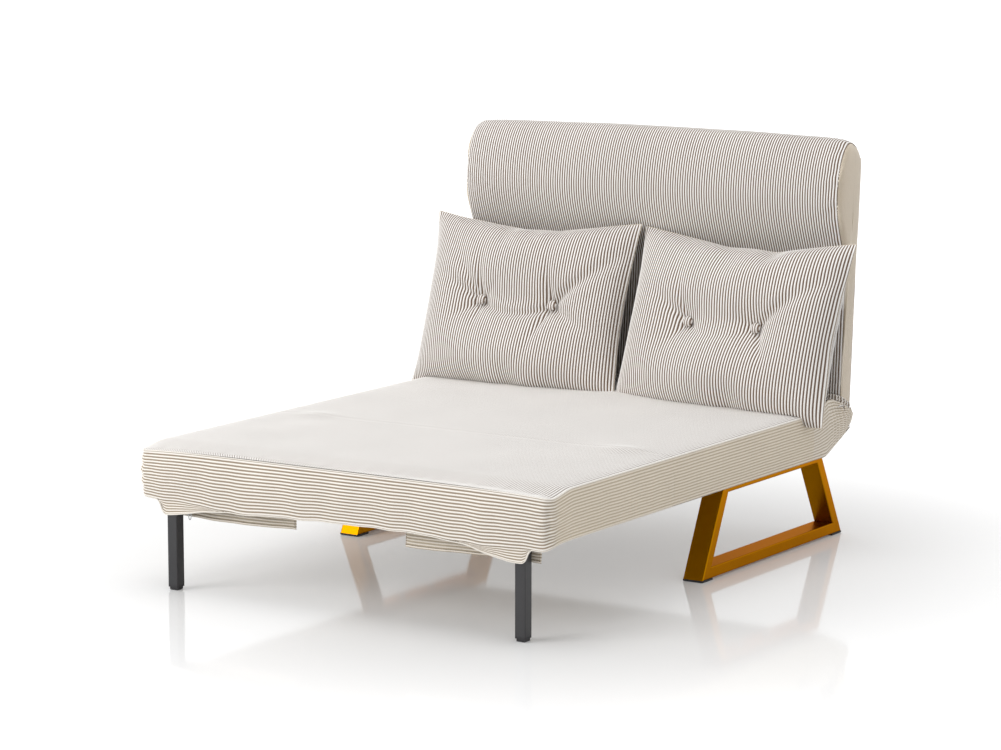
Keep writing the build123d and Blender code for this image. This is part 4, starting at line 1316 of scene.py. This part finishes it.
for side, name in both_sides:
    wide, tall = pillow_sizes[name]
    points, first, second = sewn_panels(pillow_seed + side, wide, tall)
    filled = fill(points, np.concatenate([grid_faces(first), grid_faces(second[::-1])]))
    finer = [np.linspace(0, 1, count) for count in pillow_fine]
    both = np.stack([reread(eased(filled[number]), *finer) for number in (first, second)])
    both *= (
        wide / np.ptp(both[..., 0]),
        pillow_half / np.abs(both[..., 1]).max(),
        tall / np.ptp(both[..., 2]),
    )
    front, rear = (slumped(grid, facing, name) for grid, facing in zip(both, (-1, 1)))
    centre = (front.mean((0, 1)) + rear.mean((0, 1))) / 2
    cover_panels = [panel(grid, pillow_wales[name]) for grid in (front, rear)]
    pillow = corduroy_piece(f"pillow_cover_{name}", cover_panels, centre, step=0.006)
    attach(pillow, f"pillow_{name}")
    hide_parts(f"pillow_{name}")
    rim = np.concatenate([front[:, 0], front[-1, 1:], front[-2::-1, -1], front[0, -2::-1]])
    welt = follow(
        f"pillow_welt_{name}", cord, [rim], Radius=0.0009, Step=0.005, Material=zip_weave
    )
    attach(welt, f"pillow_{name}")
    spots = []
    for grid, flat in zip((front, rear), both):
        for button in (-1, 1):
            away = np.hypot(flat[..., 0] - button * tuft_half, flat[..., 2])
            i, j = np.unravel_index(np.argmin(away), away.shape)
            across = grid[i + 5, j] - grid[i - 5, j]
            across /= np.linalg.norm(across)
            facing = np.cross(across, grid[i, j + 5] - grid[i, j - 5])
            facing *= np.sign(np.dot(facing, grid[i, j] - centre)) / np.linalg.norm(facing)
            spots.append((grid[i, j] + facing * button_out, facing, across))
    buttons = covered_buttons(f"buttons_{name}", spots)
    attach(buttons, f"pillow_{name}")
    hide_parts(f"pillow_buttons_{name}")


# Stage: a plain pale floor with painted light, a glow that fades it to white away from the bed, and
# soft studio light from above.
# The camera stands where the photograph was taken from.
def looked_at(tree):
    """1 for rays that come from the camera or from a glossy surface, and 0 for the rest."""
    rays = add(tree, "ShaderNodeLightPath").outputs
    either = {0: rays["Is Camera Ray"], 1: rays["Is Glossy Ray"]}
    return add(tree, "ShaderNodeMath", either, operation="ADD").outputs[0]


def pale_floor():
    """Smooth white floor paint with a faint mirror image near the bed; painted light, a glow seen
    by the camera and in reflections, is weak near the bed and makes the floor plain white further
    away.
    """
    sockets = {"Base Color": linear("#E6E6E6"), "Roughness": 0.07, "Specular IOR Level": 0.14}
    material, tree, shader, place = start_material("white_floor_paint", sockets)
    far = add(tree, "ShaderNodeVectorMath", {0: place}, operation="LENGTH").outputs["Value"]
    # Painted light: the glow grows with distance from the bed, so the floor near it stays darker
    fade = {"Value": far, "From Min": 0.7, "From Max": 2.3, "To Min": 0.10, "To Max": 0.6}
    lift = add(tree, "ShaderNodeMapRange", fade, interpolation_type="SMOOTHSTEP").outputs["Result"]
    seen = add(tree, "ShaderNodeMath", {0: looked_at(tree), 1: lift}, operation="MULTIPLY")
    glow = {"Color": linear("#FFFFFF"), "Strength": seen.outputs[0]}
    shine = add(tree, "ShaderNodeEmission", glow)
    total = add(tree, "ShaderNodeAddShader", {0: shader.outputs[0], 1: shine.outputs[0]})
    tree.links.new(total.outputs[0], tree.nodes["Material Output"].inputs["Surface"])
    return material


floor_half = 30
floor_corners = np.array([(-1, -1, 0), (1, -1, 0), (1, 1, 0), (-1, 1, 0)]) * floor_half
studio_floor = make_piece("studio_floor", floor_corners, np.array([(0, 1, 2, 3)]), pale_floor())

world = bpy.data.worlds.new("studio")
bpy.context.scene.world = world
world.use_nodes = True
tree = world.node_tree
levels = {"Value": looked_at(tree), "To Min": 0.76, "To Max": 1.0}
strength = add(tree, "ShaderNodeMapRange", levels)
sky = tree.nodes["Background"]
sky.inputs["Color"].default_value = linear("#FFFFFF")
tree.links.new(strength.outputs["Result"], sky.inputs["Strength"])


def facing_way(way):
    """Turn that points a lamp or the camera along a direction."""
    return Vector(way).to_track_quat("-Z", "Y").to_euler()


def lamp(name, place, aim, size, power):
    """Square soft box at a place, aimed at a point."""
    data = bpy.data.lights.new(name, "AREA")
    data.size = size
    data.energy = power
    light = bpy.data.objects.new(name, data)
    bpy.context.scene.collection.objects.link(light)
    light.location = place
    light.rotation_euler = facing_way(Vector(aim) - Vector(place))


lamp("front_softbox", place=(-2.8, -4.6, 2.4), aim=(0, 0, 0.4), size=2.8, power=128)
lamp("top_softbox", place=(-0.2, -0.4, 4.6), aim=(0, 0, 0.3), size=3.0, power=44)

camera = bpy.data.objects.new("camera", bpy.data.cameras.new("camera"))
bpy.context.scene.collection.objects.link(camera)
camera.data.lens = 123.99
camera.data.sensor_width = 36
azimuth, elevation = math.radians(32.8311), math.radians(9.0382)
flat_share = math.cos(elevation)
camera.location = (4.086, -6.3949, 1.6245)
camera.rotation_euler = facing_way(
    (-math.sin(azimuth) * flat_share, math.cos(azimuth) * flat_share, -math.sin(elevation))
)
bpy.context.scene.camera = camera
bpy.context.scene.view_settings.view_transform = "Standard"
